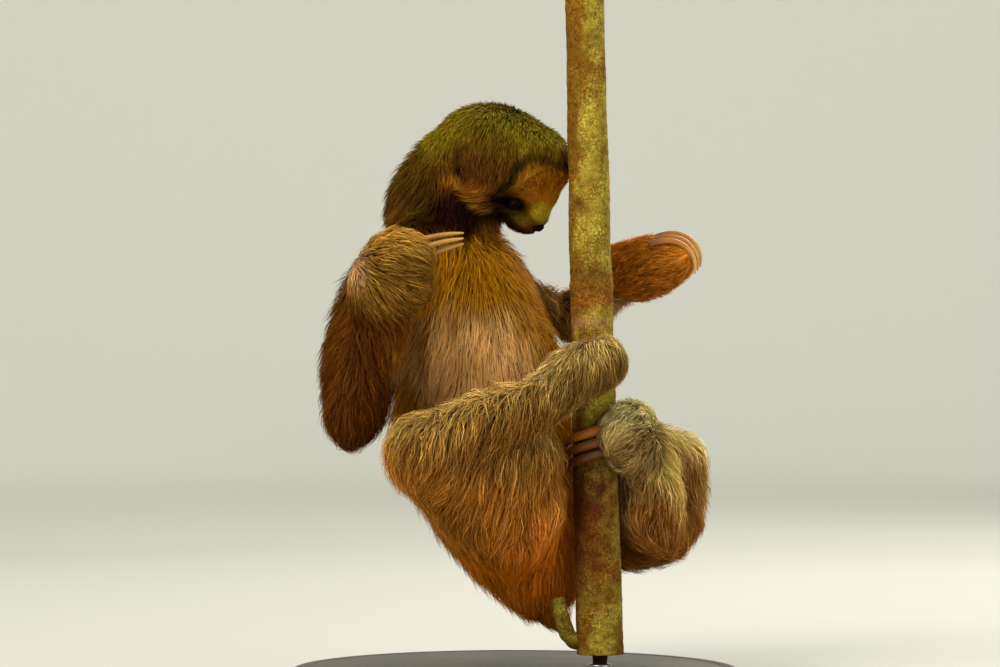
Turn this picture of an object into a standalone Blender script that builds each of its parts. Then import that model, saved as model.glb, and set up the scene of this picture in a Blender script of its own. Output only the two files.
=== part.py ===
"""A life-size museum model of a brown-throated three-toed sloth, clasping a cut length of stem.

The animal is modelled whole, out to the tips of its coat, then parted with thin cuts at its joints.
Metres, +Z up. The front of the display looks along +Y, and the origin is under the middle of the base.
The animal faces +X and a little to the front: its right side is at -X and -Y, its left at +X and +Y.
"""

import math

import bmesh
import bpy
from mathutils import Matrix, Vector
from mathutils.bvhtree import BVHTree

# ---------------------------------------------------------------------------------------------
# Driving dimensions

GAP = 0.0003  # air between two pieces that meet
CUT = 0.0006  # width of the cuts that part the body
CLAY_VOXEL = 0.0026  # grain of the fused body before it is thinned
BODY_TRIANGLES = 3500  # the whole body, before the cuts

BASE_RADIUS = 0.175
BASE_THICKNESS = 0.018
BASE_BEVEL = 0.003
ROD_RADIUS = 0.006
ROD_IN_BASE = 0.010
ROD_IN_STEM = 0.030

STEM_FOOT = Vector((0.0663, 0.0, 0.0290))
STEM_TOP = Vector((0.0538, 0.0, 0.5540))
STEM_FOOT_RADIUS = 0.0187
STEM_TOP_RADIUS = 0.0153

# The joints of the limbs. Right is the side towards the front left of the display.
SHOULDER_R = Vector((-0.088, 0.003, 0.332))
ELBOW_R = Vector((-0.1260, -0.027, 0.2110))
WRIST_R = Vector((-0.1035, -0.074, 0.3130))
KNUCKLES_R = Vector((-0.0740, -0.088, 0.3385))

SHOULDER_L = Vector((-0.004, 0.088, 0.3120))
ELBOW_L = Vector((0.0490, 0.1495, 0.2890))
WRIST_L = Vector((0.0868, 0.105, 0.3270))
KNUCKLES_L = Vector((0.1270, 0.083, 0.3365))

HIP_R = Vector((-0.0080, 0.005, 0.1373))
KNEE_R = Vector((-0.0735, -0.082, 0.1905))
ANKLE_R = Vector((0.0240, -0.053, 0.2290))
TOES_R = Vector((0.0637, -0.042, 0.2575))

HIP_L = Vector((0.0299, 0.080, 0.1135))
KNEE_L = Vector((0.1280, 0.088, 0.1530))
ANKLE_L = Vector((0.0950, 0.022, 0.2040))
TOES_L = Vector((0.0780, -0.024, 0.1985))

# The head: a frame of its own, nose along its +X, turned to the front and bowed.
SKULL = Vector((-0.0135, 0.030, 0.4110))
HEAD_TURN = math.radians(25)
HEAD_BOW = math.radians(28)
EYE_PLACE = Vector((0.0362, 0.0217, -0.0150))  # the left eye's centre in the head's frame
EYE_RADIUS = 0.0058
NOSE_PLACE = Vector((0.0545, 0.0, -0.0262))
NOSE_SIZE = Vector((0.0042, 0.0072, 0.0044))
EAR_PLACE = Vector((-0.010, 0.0495, -0.002))
EAR_SIZE = Vector((0.0045, 0.0035, 0.0080))

TAIL_ROOT = Vector((-0.012, 0.092, 0.098))
TAIL_TIP = Vector((-0.026, 0.128, 0.080))

CLAW_ROOT_RADIUS = 0.0029
CLAW_TIP_RADIUS = 0.0009


# ---------------------------------------------------------------------------------------------
# Helpers

def clear_scene():
    for obj in list(bpy.data.objects):
        bpy.data.objects.remove(obj, do_unlink=True)


def collection(name, hidden=False):
    made = bpy.data.collections.new(name)
    bpy.context.scene.collection.children.link(made)
    made.hide_render = hidden
    return made


def material(name, colour, roughness, metallic=0.0):
    made = bpy.data.materials.new(name)
    made.use_nodes = True
    shader = made.node_tree.nodes["Principled BSDF"]
    shader.inputs["Base Color"].default_value = (*colour, 1.0)
    shader.inputs["Roughness"].default_value = roughness
    shader.inputs["Metallic"].default_value = metallic
    return made


def add_object(name, mesh, finish=None, home=None):
    obj = bpy.data.objects.new(name, mesh)
    (home or PARTS).objects.link(obj)
    if finish:
        mesh.materials.clear()
        mesh.materials.append(finish)
    return obj


def add_helper(name, mesh):
    """A cutter or a lump of clay: drawn as wire and left out of the model."""
    obj = add_object(name, mesh, home=HELPERS)
    obj.hide_render = True
    obj.display_type = "WIRE"
    return obj


def evaluated_mesh(obj):
    """A closed mesh of the object with its modifiers applied, in world space."""
    bpy.context.view_layer.update()
    graph = bpy.context.evaluated_depsgraph_get()
    mesh = bpy.data.meshes.new_from_object(obj.evaluated_get(graph))
    mesh.transform(obj.matrix_world)
    shape = bmesh.new()
    shape.from_mesh(mesh)
    bmesh.ops.remove_doubles(shape, verts=shape.verts, dist=1e-6)
    bmesh.ops.recalc_face_normals(shape, faces=shape.faces)
    shape.to_mesh(mesh)
    shape.free()
    return mesh


def ellipsoid_mesh(name, radii, place=Matrix.Identity(4), segments=20, rings=12):
    shape = bmesh.new()
    size = Matrix.Diagonal((*radii, 1.0))
    bmesh.ops.create_uvsphere(shape, u_segments=segments, v_segments=rings, radius=1.0, matrix=place @ size)
    mesh = bpy.data.meshes.new(name)
    shape.to_mesh(mesh)
    shape.free()
    return mesh


def tube_mesh(name, stations, sides_level=3, steps=5):
    """A round tube along a smooth curve; each station is (place, radius)."""
    curve = bpy.data.curves.new(name, "CURVE")
    curve.dimensions = "3D"
    curve.bevel_depth = 1.0
    curve.bevel_resolution = sides_level
    curve.resolution_u = steps
    curve.use_fill_caps = True
    curve.twist_mode = "MINIMUM"
    spline = curve.splines.new("BEZIER")
    spline.bezier_points.add(len(stations) - 1)
    spline.radius_interpolation = "CARDINAL"
    for point, (place, radius) in zip(spline.bezier_points, stations):
        point.co = place
        point.radius = radius
        point.handle_left_type = point.handle_right_type = "AUTO"
    obj = bpy.data.objects.new(name, curve)
    HELPERS.objects.link(obj)
    mesh = evaluated_mesh(obj)
    bpy.data.objects.remove(obj)
    return mesh


def loft_mesh(name, sections, sides=28):
    """A body of oval sections: (centre, half-width, half-depth, turn), with a domed point at each end."""
    shape = bmesh.new()
    rings = []
    for centre, half_width, half_depth, turn in sections:
        across = Vector((-math.sin(turn), -math.cos(turn), 0.0))
        ahead = Vector((math.cos(turn), -math.sin(turn), 0.0))
        ring = []
        for k in range(sides):
            angle = 2 * math.pi * k / sides
            spot = centre + across * half_width * math.cos(angle) + ahead * half_depth * math.sin(angle)
            ring.append(shape.verts.new(spot))
        rings.append(ring)
    for low, high in zip(rings, rings[1:]):
        for k in range(sides):
            n = (k + 1) % sides
            shape.faces.new((low[k], low[n], high[n], high[k]))
    shape.faces.new(rings[0])
    shape.faces.new(rings[-1])
    bmesh.ops.recalc_face_normals(shape, faces=shape.faces)
    mesh = bpy.data.meshes.new(name)
    shape.to_mesh(mesh)
    shape.free()
    return mesh


def fuse(name, meshes, triangles, smoothing):
    """Several overlapping closed meshes made one skin of about that many triangles."""
    shape = bmesh.new()
    for mesh in meshes:
        shape.from_mesh(mesh)
    whole = bpy.data.meshes.new(name)
    shape.to_mesh(whole)
    shape.free()
    obj = add_helper(name, whole)
    remesh = obj.modifiers.new("fuse", "REMESH")
    remesh.mode = "VOXEL"
    remesh.voxel_size = CLAY_VOXEL
    smooth = obj.modifiers.new("smooth", "SMOOTH")
    smooth.factor = 0.5
    smooth.iterations = smoothing
    fused = evaluated_mesh(obj)
    obj.modifiers.clear()
    obj.data = fused
    thin = obj.modifiers.new("thin", "DECIMATE")
    fused.calc_loop_triangles()
    thin.ratio = triangles / len(fused.loop_triangles)
    thinned = evaluated_mesh(obj)
    bpy.data.objects.remove(obj)
    return thinned


def boolean(obj, cutter_mesh, operation="DIFFERENCE"):
    """The object's mesh cut by, or joined with, a closed mesh."""
    cutter = add_helper(obj.name + "_cutter", cutter_mesh)
    step = obj.modifiers.new("cut", "BOOLEAN")
    step.operation = operation
    step.solver = "EXACT"
    step.object = cutter
    mesh = evaluated_mesh(obj)
    obj.modifiers.clear()
    materials = list(obj.data.materials)
    obj.data = mesh
    mesh.materials.clear()
    for finish in materials:
        mesh.materials.append(finish)
    bpy.data.objects.remove(cutter)
    return obj


def islands(mesh):
    """The separate bodies of a mesh, largest first, each a triangle mesh of its own."""
    shape = bmesh.new()
    shape.from_mesh(mesh)
    shape.faces.ensure_lookup_table()
    left = set(shape.faces)
    found = []
    while left:
        stack = [left.pop()]
        group = {stack[0].index}
        while stack:
            for edge in stack.pop().edges:
                for face in edge.link_faces:
                    if face in left:
                        left.remove(face)
                        group.add(face.index)
                        stack.append(face)
        piece = shape.copy()
        others = [face for k, face in enumerate(piece.faces) if k not in group]
        bmesh.ops.delete(piece, geom=others, context="FACES")
        bmesh.ops.triangulate(piece, faces=piece.faces)
        made = bpy.data.meshes.new("island")
        piece.to_mesh(made)
        found.append((abs(piece.calc_volume()), made))
        piece.free()
    shape.free()
    return [mesh for _, mesh in sorted(found, key=lambda pair: -pair[0])]


def holds(mesh, spot):
    """True if the spot is inside the closed mesh: a ray from it leaves through an odd number of faces."""
    shape = bmesh.new()
    shape.from_mesh(mesh)
    tree = BVHTree.FromBMesh(shape)
    shape.free()
    ray, crossings, start = Vector((0.31, -0.42, 0.85)).normalized(), 0, Vector(spot)
    while True:
        hit, _, _, _ = tree.ray_cast(start, ray)
        if hit is None:
            return crossings % 2 == 1
        crossings += 1
        start = hit + ray * 1e-6


def slab_mesh(name, centre, normal, along, reach, thickness=CUT):
    """A thin plate, the tool of one cut: it reaches so far back, forward and to each side along its plane."""
    facing = Vector(normal).normalized()
    forward = (along - facing * along.dot(facing)).normalized()
    sideways = facing.cross(forward)
    back, ahead, side = reach
    turn = Matrix((forward, sideways, facing)).transposed().to_4x4()
    place = Matrix.Translation(centre + forward * (ahead - back) / 2) @ turn
    shape = bmesh.new()
    size = Matrix.Diagonal((back + ahead, 2 * side, thickness, 1.0))
    bmesh.ops.create_cube(shape, size=1.0, matrix=place @ size)
    mesh = bpy.data.meshes.new(name)
    shape.to_mesh(mesh)
    shape.free()
    return mesh


def bisector(before, joint, after):
    """The direction of travel through a joint: the plane across it parts the two bones evenly."""
    return (joint - before).normalized() + (after - joint).normalized()


# ---------------------------------------------------------------------------------------------
# The body, modelled whole

def head_frame():
    turn = Matrix.Rotation(-HEAD_TURN, 4, "Z") @ Matrix.Rotation(HEAD_BOW, 4, "Y")
    return Matrix.Translation(SKULL) @ turn


def head_clay():
    """A ball of fur with a flat face, full cheeks and a short blunt muzzle."""
    frame = head_frame()
    lumps = [
        ((-0.002, 0.000, 0.004), (0.056, 0.051, 0.045)),  # braincase and its thatch
        ((0.022, 0.000, 0.018), (0.038, 0.037, 0.030)),  # brow, a fringe that overhangs the face
        ((0.018, 0.000, -0.008), (0.038, 0.025, 0.022)),  # face
        ((0.040, 0.000, -0.001), (0.0195, 0.0180, 0.0120)),  # bridge of the nose
        ((0.045, 0.000, -0.020), (0.0155, 0.0145, 0.0120)),  # muzzle
        ((0.037, 0.000, -0.031), (0.0170, 0.0140, 0.0095)),  # chin
    ]
    for side in (-1, 1):
        lumps.append(((0.002, 0.026 * side, -0.022), (0.028, 0.020, 0.019)))  # cheek
        lumps.append(((-0.014, 0.023 * side, -0.014), (0.032, 0.024, 0.022)))  # jaw ruff
    return [
        ellipsoid_mesh("head_clay", radii, frame @ Matrix.Translation(place))
        for place, radii in lumps
    ]


def trunk_clay():
    """Shoulders to rump: chest turned further to the front than the hips."""
    sections = [
        (Vector((-0.0560, 0.052, 0.3700)), 0.034, 0.034, math.radians(50)),
        (Vector((-0.0540, 0.051, 0.3560)), 0.048, 0.045, math.radians(50)),
        (Vector((-0.0470, 0.048, 0.3355)), 0.059, 0.053, math.radians(50)),
        (Vector((-0.0364, 0.046, 0.3014)), 0.061, 0.059, math.radians(49)),
        (Vector((-0.0290, 0.047, 0.2619)), 0.063, 0.065, math.radians(47)),
        (Vector((-0.0230, 0.048, 0.2144)), 0.067, 0.069, math.radians(45)),
        (Vector((-0.0137, 0.050, 0.1669)), 0.070, 0.069, math.radians(42)),
        (Vector((-0.0040, 0.052, 0.1192)), 0.061, 0.063, math.radians(40)),
        (Vector((0.0120, 0.052, 0.0800)), 0.042, 0.046, math.radians(40)),
        (Vector((0.0230, 0.051, 0.0570)), 0.026, 0.028, math.radians(40)),
        (Vector((0.0310, 0.050, 0.0430)), 0.011, 0.012, math.radians(40)),
    ]
    flank = limb_clay("flank_clay", [
        (Vector((-0.0580, 0.036, 0.2600)), 0.0360),
        (Vector((-0.0600, 0.034, 0.2250)), 0.0410),
        (Vector((-0.0640, 0.030, 0.1900)), 0.0400),
    ])
    belly = ellipsoid_mesh("belly_clay", (0.040, 0.040, 0.040), Matrix.Translation((-0.0005, 0.030, 0.2620)))
    side = ellipsoid_mesh("side_clay", (0.022, 0.022, 0.030), Matrix.Translation((0.0300, 0.0340, 0.2150)))
    return [loft_mesh("trunk_clay", sections), *flank, belly, side]


def neck_clay():
    stations = [
        (Vector((-0.0150, 0.032, 0.4080)), 0.040),
        (Vector((-0.0420, 0.041, 0.4070)), 0.042),
        (Vector((-0.0590, 0.048, 0.3800)), 0.0470),
        (Vector((-0.0570, 0.051, 0.3540)), 0.0490),
    ]
    return [tube_mesh("neck_clay", stations)]


def limb_clay(name, stations):
    """A furred limb: a tube with a ball at every station, so that its ends are round."""
    balls = [
        ellipsoid_mesh(name, (radius,) * 3, Matrix.Translation(place), segments=16, rings=10)
        for place, radius in stations
    ]
    return [tube_mesh(name, stations), *balls]


def arm_clay():
    right = limb_clay("arm_right_clay", [
        (Vector((-0.070, 0.020, 0.340)), 0.036),
        (SHOULDER_R, 0.034),
        (Vector((-0.1140, -0.0070, 0.2910)), 0.0325),
        (Vector((-0.1255, -0.0170, 0.2500)), 0.0290),
        (ELBOW_R, 0.0255),
    ])
    right += limb_clay("forearm_right_clay", [
        (ELBOW_R + Vector((0.004, -0.006, 0.002)), 0.0240),
        (ELBOW_R.lerp(WRIST_R, 0.35) + Vector((0.006, -0.004, 0.0)), 0.0255),
        (ELBOW_R.lerp(WRIST_R, 0.70) + Vector((0.006, -0.002, 0.0)), 0.0270),
        (WRIST_R, 0.0270),
    ])
    right += limb_clay("hand_right_clay", [
        (Vector((-0.1050, -0.080, 0.3290)), 0.0235),
        (Vector((-0.0900, -0.084, 0.3350)), 0.0270),
        (KNUCKLES_R, 0.0165),
    ])
    right += limb_clay("wrist_fringe_right_clay", [
        (Vector((-0.0980, -0.080, 0.3100)), 0.0240),
        (Vector((-0.0800, -0.082, 0.3150)), 0.0200),
    ])
    left = limb_clay("arm_left_clay", [
        (Vector((-0.024, 0.070, 0.325)), 0.036),
        (SHOULDER_L, 0.028),
        (Vector((0.0240, 0.1200, 0.3030)), 0.0200),
        (ELBOW_L, 0.0240),
    ])
    left += limb_clay("forearm_left_clay", [
        (ELBOW_L, 0.0240),
        (ELBOW_L.lerp(WRIST_L, 0.5), 0.0235),
        (WRIST_L, 0.0270),
    ])
    left += limb_clay("hand_left_clay", [
        (WRIST_L, 0.0270),
        (Vector((0.1110, 0.090, 0.3330)), 0.0275),
        (KNUCKLES_L, 0.0205),
    ])
    return right + left


def leg_clay():
    right = limb_clay("thigh_right_clay", [
        (HIP_R, 0.050),
        (HIP_R.lerp(KNEE_R, 0.5) + Vector((0.002, 0.0, 0.000)), 0.0440),
        (KNEE_R + Vector((0.002, 0.006, -0.006)), 0.0330),
    ])
    right += limb_clay("shin_right_clay", [
        (KNEE_R, 0.0325),
        (KNEE_R.lerp(ANKLE_R, 0.35) + Vector((0.0, -0.002, 0.001)), 0.0295),
        (KNEE_R.lerp(ANKLE_R, 0.7) + Vector((0.0, -0.002, 0.001)), 0.0275),
        (ANKLE_R, 0.0225),
    ])
    right += limb_clay("foot_right_clay", [
        (ANKLE_R, 0.0225),
        (Vector((0.0450, -0.047, 0.2480)), 0.0250),
        (TOES_R, 0.0262),
    ])
    right += limb_clay("curtain_right_clay", [
        (Vector((-0.0340, -0.050, 0.1730)), 0.0380),
        (Vector((-0.0040, -0.042, 0.1760)), 0.0360),
        (Vector((0.0160, -0.034, 0.1860)), 0.0280),
    ])
    right += limb_clay("skirt_right_clay", [
        (Vector((-0.0200, -0.030, 0.1500)), 0.0420),
        (Vector((0.0060, -0.022, 0.1480)), 0.0370),
    ])
    left = limb_clay("thigh_left_clay", [
        (HIP_L, 0.044),
        (HIP_L.lerp(KNEE_L, 0.5), 0.0410),
        (KNEE_L, 0.0300),
        (Vector((0.1150, 0.080, 0.1180)), 0.0280),
        (Vector((0.0930, 0.075, 0.1070)), 0.0220),
    ])
    left += limb_clay("shin_left_clay", [
        (KNEE_L, 0.0295),
        (Vector((0.1285, 0.066, 0.1785)), 0.0290),
        (Vector((0.1150, 0.046, 0.1830)), 0.0270),
        (ANKLE_L + Vector((0.004, 0.004, -0.004)), 0.0230),
    ])
    left += limb_clay("calf_left_clay", [
        (Vector((0.1010, 0.020, 0.1820)), 0.0260),
        (Vector((0.1040, 0.020, 0.1520)), 0.0320),
        (Vector((0.1060, 0.036, 0.1260)), 0.0320),
        (Vector((0.1020, 0.050, 0.1120)), 0.0230),
    ])
    left += limb_clay("foot_left_clay", [
        (ANKLE_L, 0.0235),
        (Vector((0.0880, -0.004, 0.2065)), 0.0235),
        (TOES_L, 0.0180),
        (Vector((0.0830, -0.017, 0.1800)), 0.0150),
    ])
    return right + left


def tail_clay():
    return limb_clay("tail_clay", [
        (TAIL_ROOT, 0.0170),
        (TAIL_ROOT.lerp(TAIL_TIP, 0.55), 0.0135),
        (TAIL_TIP, 0.0100),
    ])


# ---------------------------------------------------------------------------------------------
# The cuts that part it

UP = Vector((0.0, 0.0, 1.0))
WIDE = (0.15, 0.15, 0.15)


def body_cuts():
    """(near part, far part, centre, normal, direction, reach) of every cut, from the trunk outwards.

    A plane through a joint, square to its bisector, parts the two bones evenly.
    """
    return [
        ("trunk", "head", Vector((-0.033, 0.039, 0.391)), Vector((0.69, -0.32, 0.65)), UP, (0.040, 0.075, 0.060)),
        ("trunk", "neck", Vector((-0.055, 0.050, 0.371)), Vector((0.06, -0.04, 1.0)), Vector((1, 0, 0)), WIDE),
        ("trunk", "upper_arm_right", Vector((-0.081, 0.003, 0.300)), Vector((-0.82, -0.53, 0.22)), UP,
         (0.050, 0.085, 0.064)),
        ("trunk", "upper_arm_left", Vector((0.007, 0.101, 0.309)), Vector((0.45, 0.88, -0.10)), UP,
         (0.040, 0.040, 0.040)),
        ("trunk", "thigh_right", Vector((-0.024, -0.0245, 0.170)), Vector((0.0, -1.0, 0.0)), UP,
         (0.085, 0.050, 0.074)),
        ("trunk", "thigh_left", Vector((0.047, 0.076, 0.130)), Vector((0.92, 0.38, 0.0)), UP,
         (0.068, 0.062, 0.060)),
        ("trunk", "tail", TAIL_ROOT.lerp(TAIL_TIP, 0.45), TAIL_TIP - TAIL_ROOT, UP, (0.030, 0.030, 0.030)),
        ("upper_arm_right", "forearm_right", ELBOW_R + Vector((0.002, 0.0, 0.0)),
         bisector(SHOULDER_R, ELBOW_R, WRIST_R), UP, WIDE),
        ("forearm_right", "hand_right", WRIST_R + Vector((0.002, 0.0, -0.014)), WRIST_R - ELBOW_R, UP, WIDE),
        ("upper_arm_left", "forearm_left", ELBOW_L, bisector(SHOULDER_L, ELBOW_L, WRIST_L), UP, WIDE),
        ("forearm_left", "hand_left", WRIST_L + Vector((-0.008, 0.006, -0.006)), WRIST_L - ELBOW_L, UP, WIDE),
        ("thigh_right", "shin_right", KNEE_R, bisector(HIP_R, KNEE_R, ANKLE_R), UP, WIDE),
        ("shin_right", "foot_right", ANKLE_R, bisector(KNEE_R, ANKLE_R, TOES_R), UP, WIDE),
        ("thigh_left", "shin_left", KNEE_L + Vector((0.0, 0.0, 0.006)), bisector(HIP_L, KNEE_L, ANKLE_L), UP, WIDE),
        ("shin_left", "foot_left", Vector((0.097, 0.016, 0.190)), Vector((-0.5, -1.0, 1.0)), UP, WIDE),
    ]


def seeds():
    """A spot inside each part, by which the parted pieces get their names."""
    return {
        "head": SKULL + Vector((0.015, 0.0, 0.010)),
        "neck": Vector((-0.056, 0.048, 0.390)),
        "trunk": Vector((-0.020, 0.044, 0.220)),
        "tail": TAIL_ROOT.lerp(TAIL_TIP, 0.75),
        "upper_arm_right": Vector((-0.1130, -0.0050, 0.2850)),
        "forearm_right": ELBOW_R.lerp(WRIST_R, 0.5) + Vector((0.002, -0.006, 0.0)),
        "hand_right": Vector((-0.0900, -0.084, 0.3350)),
        "upper_arm_left": Vector((0.0240, 0.1200, 0.3030)),
        "forearm_left": ELBOW_L.lerp(WRIST_L, 0.5),
        "hand_left": Vector((0.1110, 0.090, 0.3335)),
        "thigh_right": HIP_R.lerp(KNEE_R, 0.6) + Vector((0.0, 0.0, -0.012)),
        "shin_right": KNEE_R.lerp(ANKLE_R, 0.5),
        "foot_right": TOES_R,
        "thigh_left": HIP_L.lerp(KNEE_L, 0.6),
        "shin_left": KNEE_L.lerp(ANKLE_L, 0.6),
        "foot_left": Vector((0.0880, 0.000, 0.2060)),
    }


def part_body():
    clay = trunk_clay() + neck_clay() + arm_clay() + leg_clay() + tail_clay() + head_clay()
    spots = seeds()
    pieces = {"trunk": fuse("body_clay", clay, BODY_TRIANGLES, 7)}
    for near, far, centre, normal, along, reach in body_cuts():
        host = add_helper("host", pieces[near])
        boolean(host, slab_mesh("plate", centre, normal, along, reach))
        bodies = islands(host.data)
        bpy.data.objects.remove(host)
        for name in (near, far):
            holders = [body for body in bodies if holds(body, spots[name])]
            if not holders:
                raise ValueError(f"no body holds {name} after the cut between {near} and {far}")
            pieces[name] = holders[0]
        if pieces[near] == pieces[far]:
            raise ValueError(f"the cut between {near} and {far} didn't part them")
    return {name: add_object(name, mesh, FUR) for name, mesh in pieces.items()}


# ---------------------------------------------------------------------------------------------
# Eyes, nose, ears and claws

def keep_largest(obj):
    """Drops the crumbs that a cut leaves beside the piece."""
    finish = list(obj.data.materials)
    obj.data = islands(obj.data)[0]
    for each in finish:
        obj.data.materials.append(each)


def fit_into(host, name, finish, mesh, socket_mesh):
    """A piece set into its host, which gets a socket with a thin gap all round."""
    boolean(host, socket_mesh)
    return add_object(name, mesh, finish)


def face_pieces(head):
    frame = head_frame()
    for name, side in (("eye_right", -1), ("eye_left", 1)):
        place = frame @ Matrix.Translation(Vector((EYE_PLACE.x, EYE_PLACE.y * side, EYE_PLACE.z)))
        ball = ellipsoid_mesh(name, (EYE_RADIUS,) * 3, place, 12, 8)
        socket = ellipsoid_mesh(name + "_socket", (EYE_RADIUS + GAP,) * 3, place, 12, 8)
        fit_into(head, name, EYE, ball, socket)
    for name, side in (("ear_right", -1), ("ear_left", 1)):
        place = frame @ Matrix.Translation(Vector((EAR_PLACE.x, EAR_PLACE.y * side, EAR_PLACE.z)))
        pinna = ellipsoid_mesh(name, EAR_SIZE, place, 12, 8)
        socket = ellipsoid_mesh(name + "_socket", EAR_SIZE + Vector((GAP,) * 3), place, 12, 8)
        fit_into(head, name, SKIN, pinna, socket)
    place = frame @ Matrix.Translation(NOSE_PLACE)
    pad = ellipsoid_mesh("nose", NOSE_SIZE, place, 12, 8)
    socket = ellipsoid_mesh("nose_socket", NOSE_SIZE + Vector((GAP,) * 3), place, 12, 8)
    fit_into(head, "nose", SKIN, pad, socket)


def claw_meshes(name, points, thickness=1.0):
    """A claw along its points, and its socket: it keeps its thickness, then comes to a blunt point."""
    last = len(points) - 1
    radii = [
        (CLAW_TIP_RADIUS + (CLAW_ROOT_RADIUS - CLAW_TIP_RADIUS) * (1 - (k / last) ** 2.5) ** 0.8) * thickness
        for k in range(last + 1)
    ]
    claw = tube_mesh(name, list(zip(points, radii)), sides_level=1, steps=2)
    root = points[0] + (points[0] - points[1]).normalized() * GAP
    wide = [(p, r + GAP) for p, r in zip([root, *points[1:]], radii)]
    return claw, tube_mesh(name + "_socket", wide, sides_level=1, steps=2)


def stem_centre(height):
    share = (height - STEM_FOOT.z) / (STEM_TOP.z - STEM_FOOT.z)
    return STEM_FOOT.lerp(STEM_TOP, share), STEM_FOOT_RADIUS + (STEM_TOP_RADIUS - STEM_FOOT_RADIUS) * share


def claw_round_stem(height, start, end, rise, clear, steps=5):
    """Points of a hind claw that hooks round the stem, at angles about its axis from +X towards +Y."""
    points = []
    for k in range(steps + 1):
        share = k / steps
        angle = math.radians(start + (end - start) * share)
        centre, radius = stem_centre(height + rise * share)
        out = radius + clear - 0.0015 * share + (0.004 if k == 0 else 0.0)
        points.append(centre + Vector((math.cos(angle), math.sin(angle), 0.0)) * out)
    return points


def claw_paths():
    """The host of each claw, its points, root first, and its thickness."""
    paths = {}
    for k, (rise, slope, depth) in enumerate(((0.0077, 0.19, 0.003), (-0.0003, 0.27, -0.0035), (-0.0096, 0.385, 0.001))):
        root = KNUCKLES_R + Vector((-0.012, 0.0, rise))
        paths[f"hand_right_claw_{k + 1}"] = ("hand_right", [
            root + Vector((0.000, depth * 0.4, 0.0)),
            root + Vector((0.010, depth, 0.010 * slope + 0.0008)),
            root + Vector((0.024, depth, 0.024 * slope + 0.0016)),
            root + Vector((0.037, depth, 0.037 * slope + 0.0012)),
            root + Vector((0.0470, depth, 0.047 * slope)),
        ], 0.92)
    for k, shift in enumerate((-0.0085, 0.0, 0.0085)):
        middle = KNUCKLES_L + Vector((0.30 * shift, shift - 0.004, 0.35 * shift))
        paths[f"hand_left_claw_{k + 1}"] = ("hand_left", [
            middle + Vector((-0.0180, 0.0, 0.0160)),
            middle + Vector((-0.0060, 0.0, 0.0195)),
            middle + Vector((0.0060, 0.0, 0.0180)),
            middle + Vector((0.0150, 0.0, 0.0115)),
            middle + Vector((0.0195, 0.0, 0.0025)),
            middle + Vector((0.0195, 0.0, -0.0075)),
        ], 1.0)
    for k, lift in enumerate((0.0098, 0.0, -0.0098)):
        paths[f"foot_right_claw_{k + 1}"] = (
            "foot_right", claw_round_stem(TOES_R.z - 0.001 + lift, -36, 140, 0.002 - 0.2 * lift, 0.0036), 1.0
        )
    for k, lift in enumerate((0.0092, 0.0, -0.0092)):
        paths[f"foot_left_claw_{k + 1}"] = (
            "foot_left", claw_round_stem(TOES_L.z + 0.0015 + lift, -42, -200, -0.019, 0.0062), 1.60
        )
    return paths


def claws(body):
    for name, (host, points, thickness) in claw_paths().items():
        claw, socket = claw_meshes(name, points, thickness)
        fit_into(body[host], name, HORN, claw, socket)


# ---------------------------------------------------------------------------------------------
# The perch and the display stand

def stem_mesh(name, grow=0.0):
    """The cut stem: nearly straight, a little thicker at its foot and at each old leaf joint."""
    joints = (0.135, 0.287, 0.435)
    heights = sorted([0.0, 0.20, 0.35, 0.525] + [joint + step for joint in joints for step in (-0.012, 0.0, 0.012)])
    stations = []
    for height in heights:
        centre, radius = stem_centre(STEM_FOOT.z + height)
        sway = Vector((0.0009 * math.sin(height * 23), 0.0012 * math.sin(height * 17 + 1), 0.0))
        swell = 0.0007 if height in joints else 0.0
        stations.append((centre + sway, radius + swell + grow))
    return tube_mesh(name, stations, sides_level=5, steps=1)


def shoot_mesh(name, grow=0.0):
    """A side shoot, cut short under the rump; it leaves the stem low on its left."""
    stations = [
        (Vector((0.0580, 0.000, 0.0370)), 0.0055 + grow),
        (Vector((0.0470, -0.002, 0.0385)), 0.0062 + grow),
        (Vector((0.0400, -0.003, 0.0470)), 0.0064 + grow),
        (Vector((0.0358, -0.002, 0.0600)), 0.0062 + grow),
        (Vector((0.0338, 0.001, 0.0720 + grow)), 0.0058 + grow),
    ]
    return tube_mesh(name, stations, sides_level=2, steps=2)


def perch(body):
    stem = add_object("perch_stem", stem_mesh("perch_stem"), BARK)
    boolean(stem, shoot_mesh("shoot"), "UNION")
    for piece in body.values():
        boolean(piece, stem_mesh("stem_cutter", GAP))
    boolean(body["trunk"], shoot_mesh("shoot_cutter", GAP))
    rod_place = Matrix.Translation(STEM_FOOT + Vector((0.0, 0.0, ROD_IN_STEM / 2)))
    shape = bmesh.new()
    bmesh.ops.create_cone(
        shape, cap_ends=True, segments=24, radius1=ROD_RADIUS + GAP, radius2=ROD_RADIUS + GAP,
        depth=ROD_IN_STEM + 0.01, matrix=rod_place @ Matrix.Translation((0, 0, -0.005 + GAP)),
    )
    bore = bpy.data.meshes.new("rod_bore")
    shape.to_mesh(bore)
    shape.free()
    boolean(stem, bore)
    return stem


def cylinder_mesh(name, radius, low, high, x=0.0, y=0.0, segments=48):
    shape = bmesh.new()
    bmesh.ops.create_cone(
        shape, cap_ends=True, segments=segments, radius1=radius, radius2=radius, depth=high - low,
        matrix=Matrix.Translation((x, y, (low + high) / 2)),
    )
    mesh = bpy.data.meshes.new(name)
    shape.to_mesh(mesh)
    shape.free()
    return mesh


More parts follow.
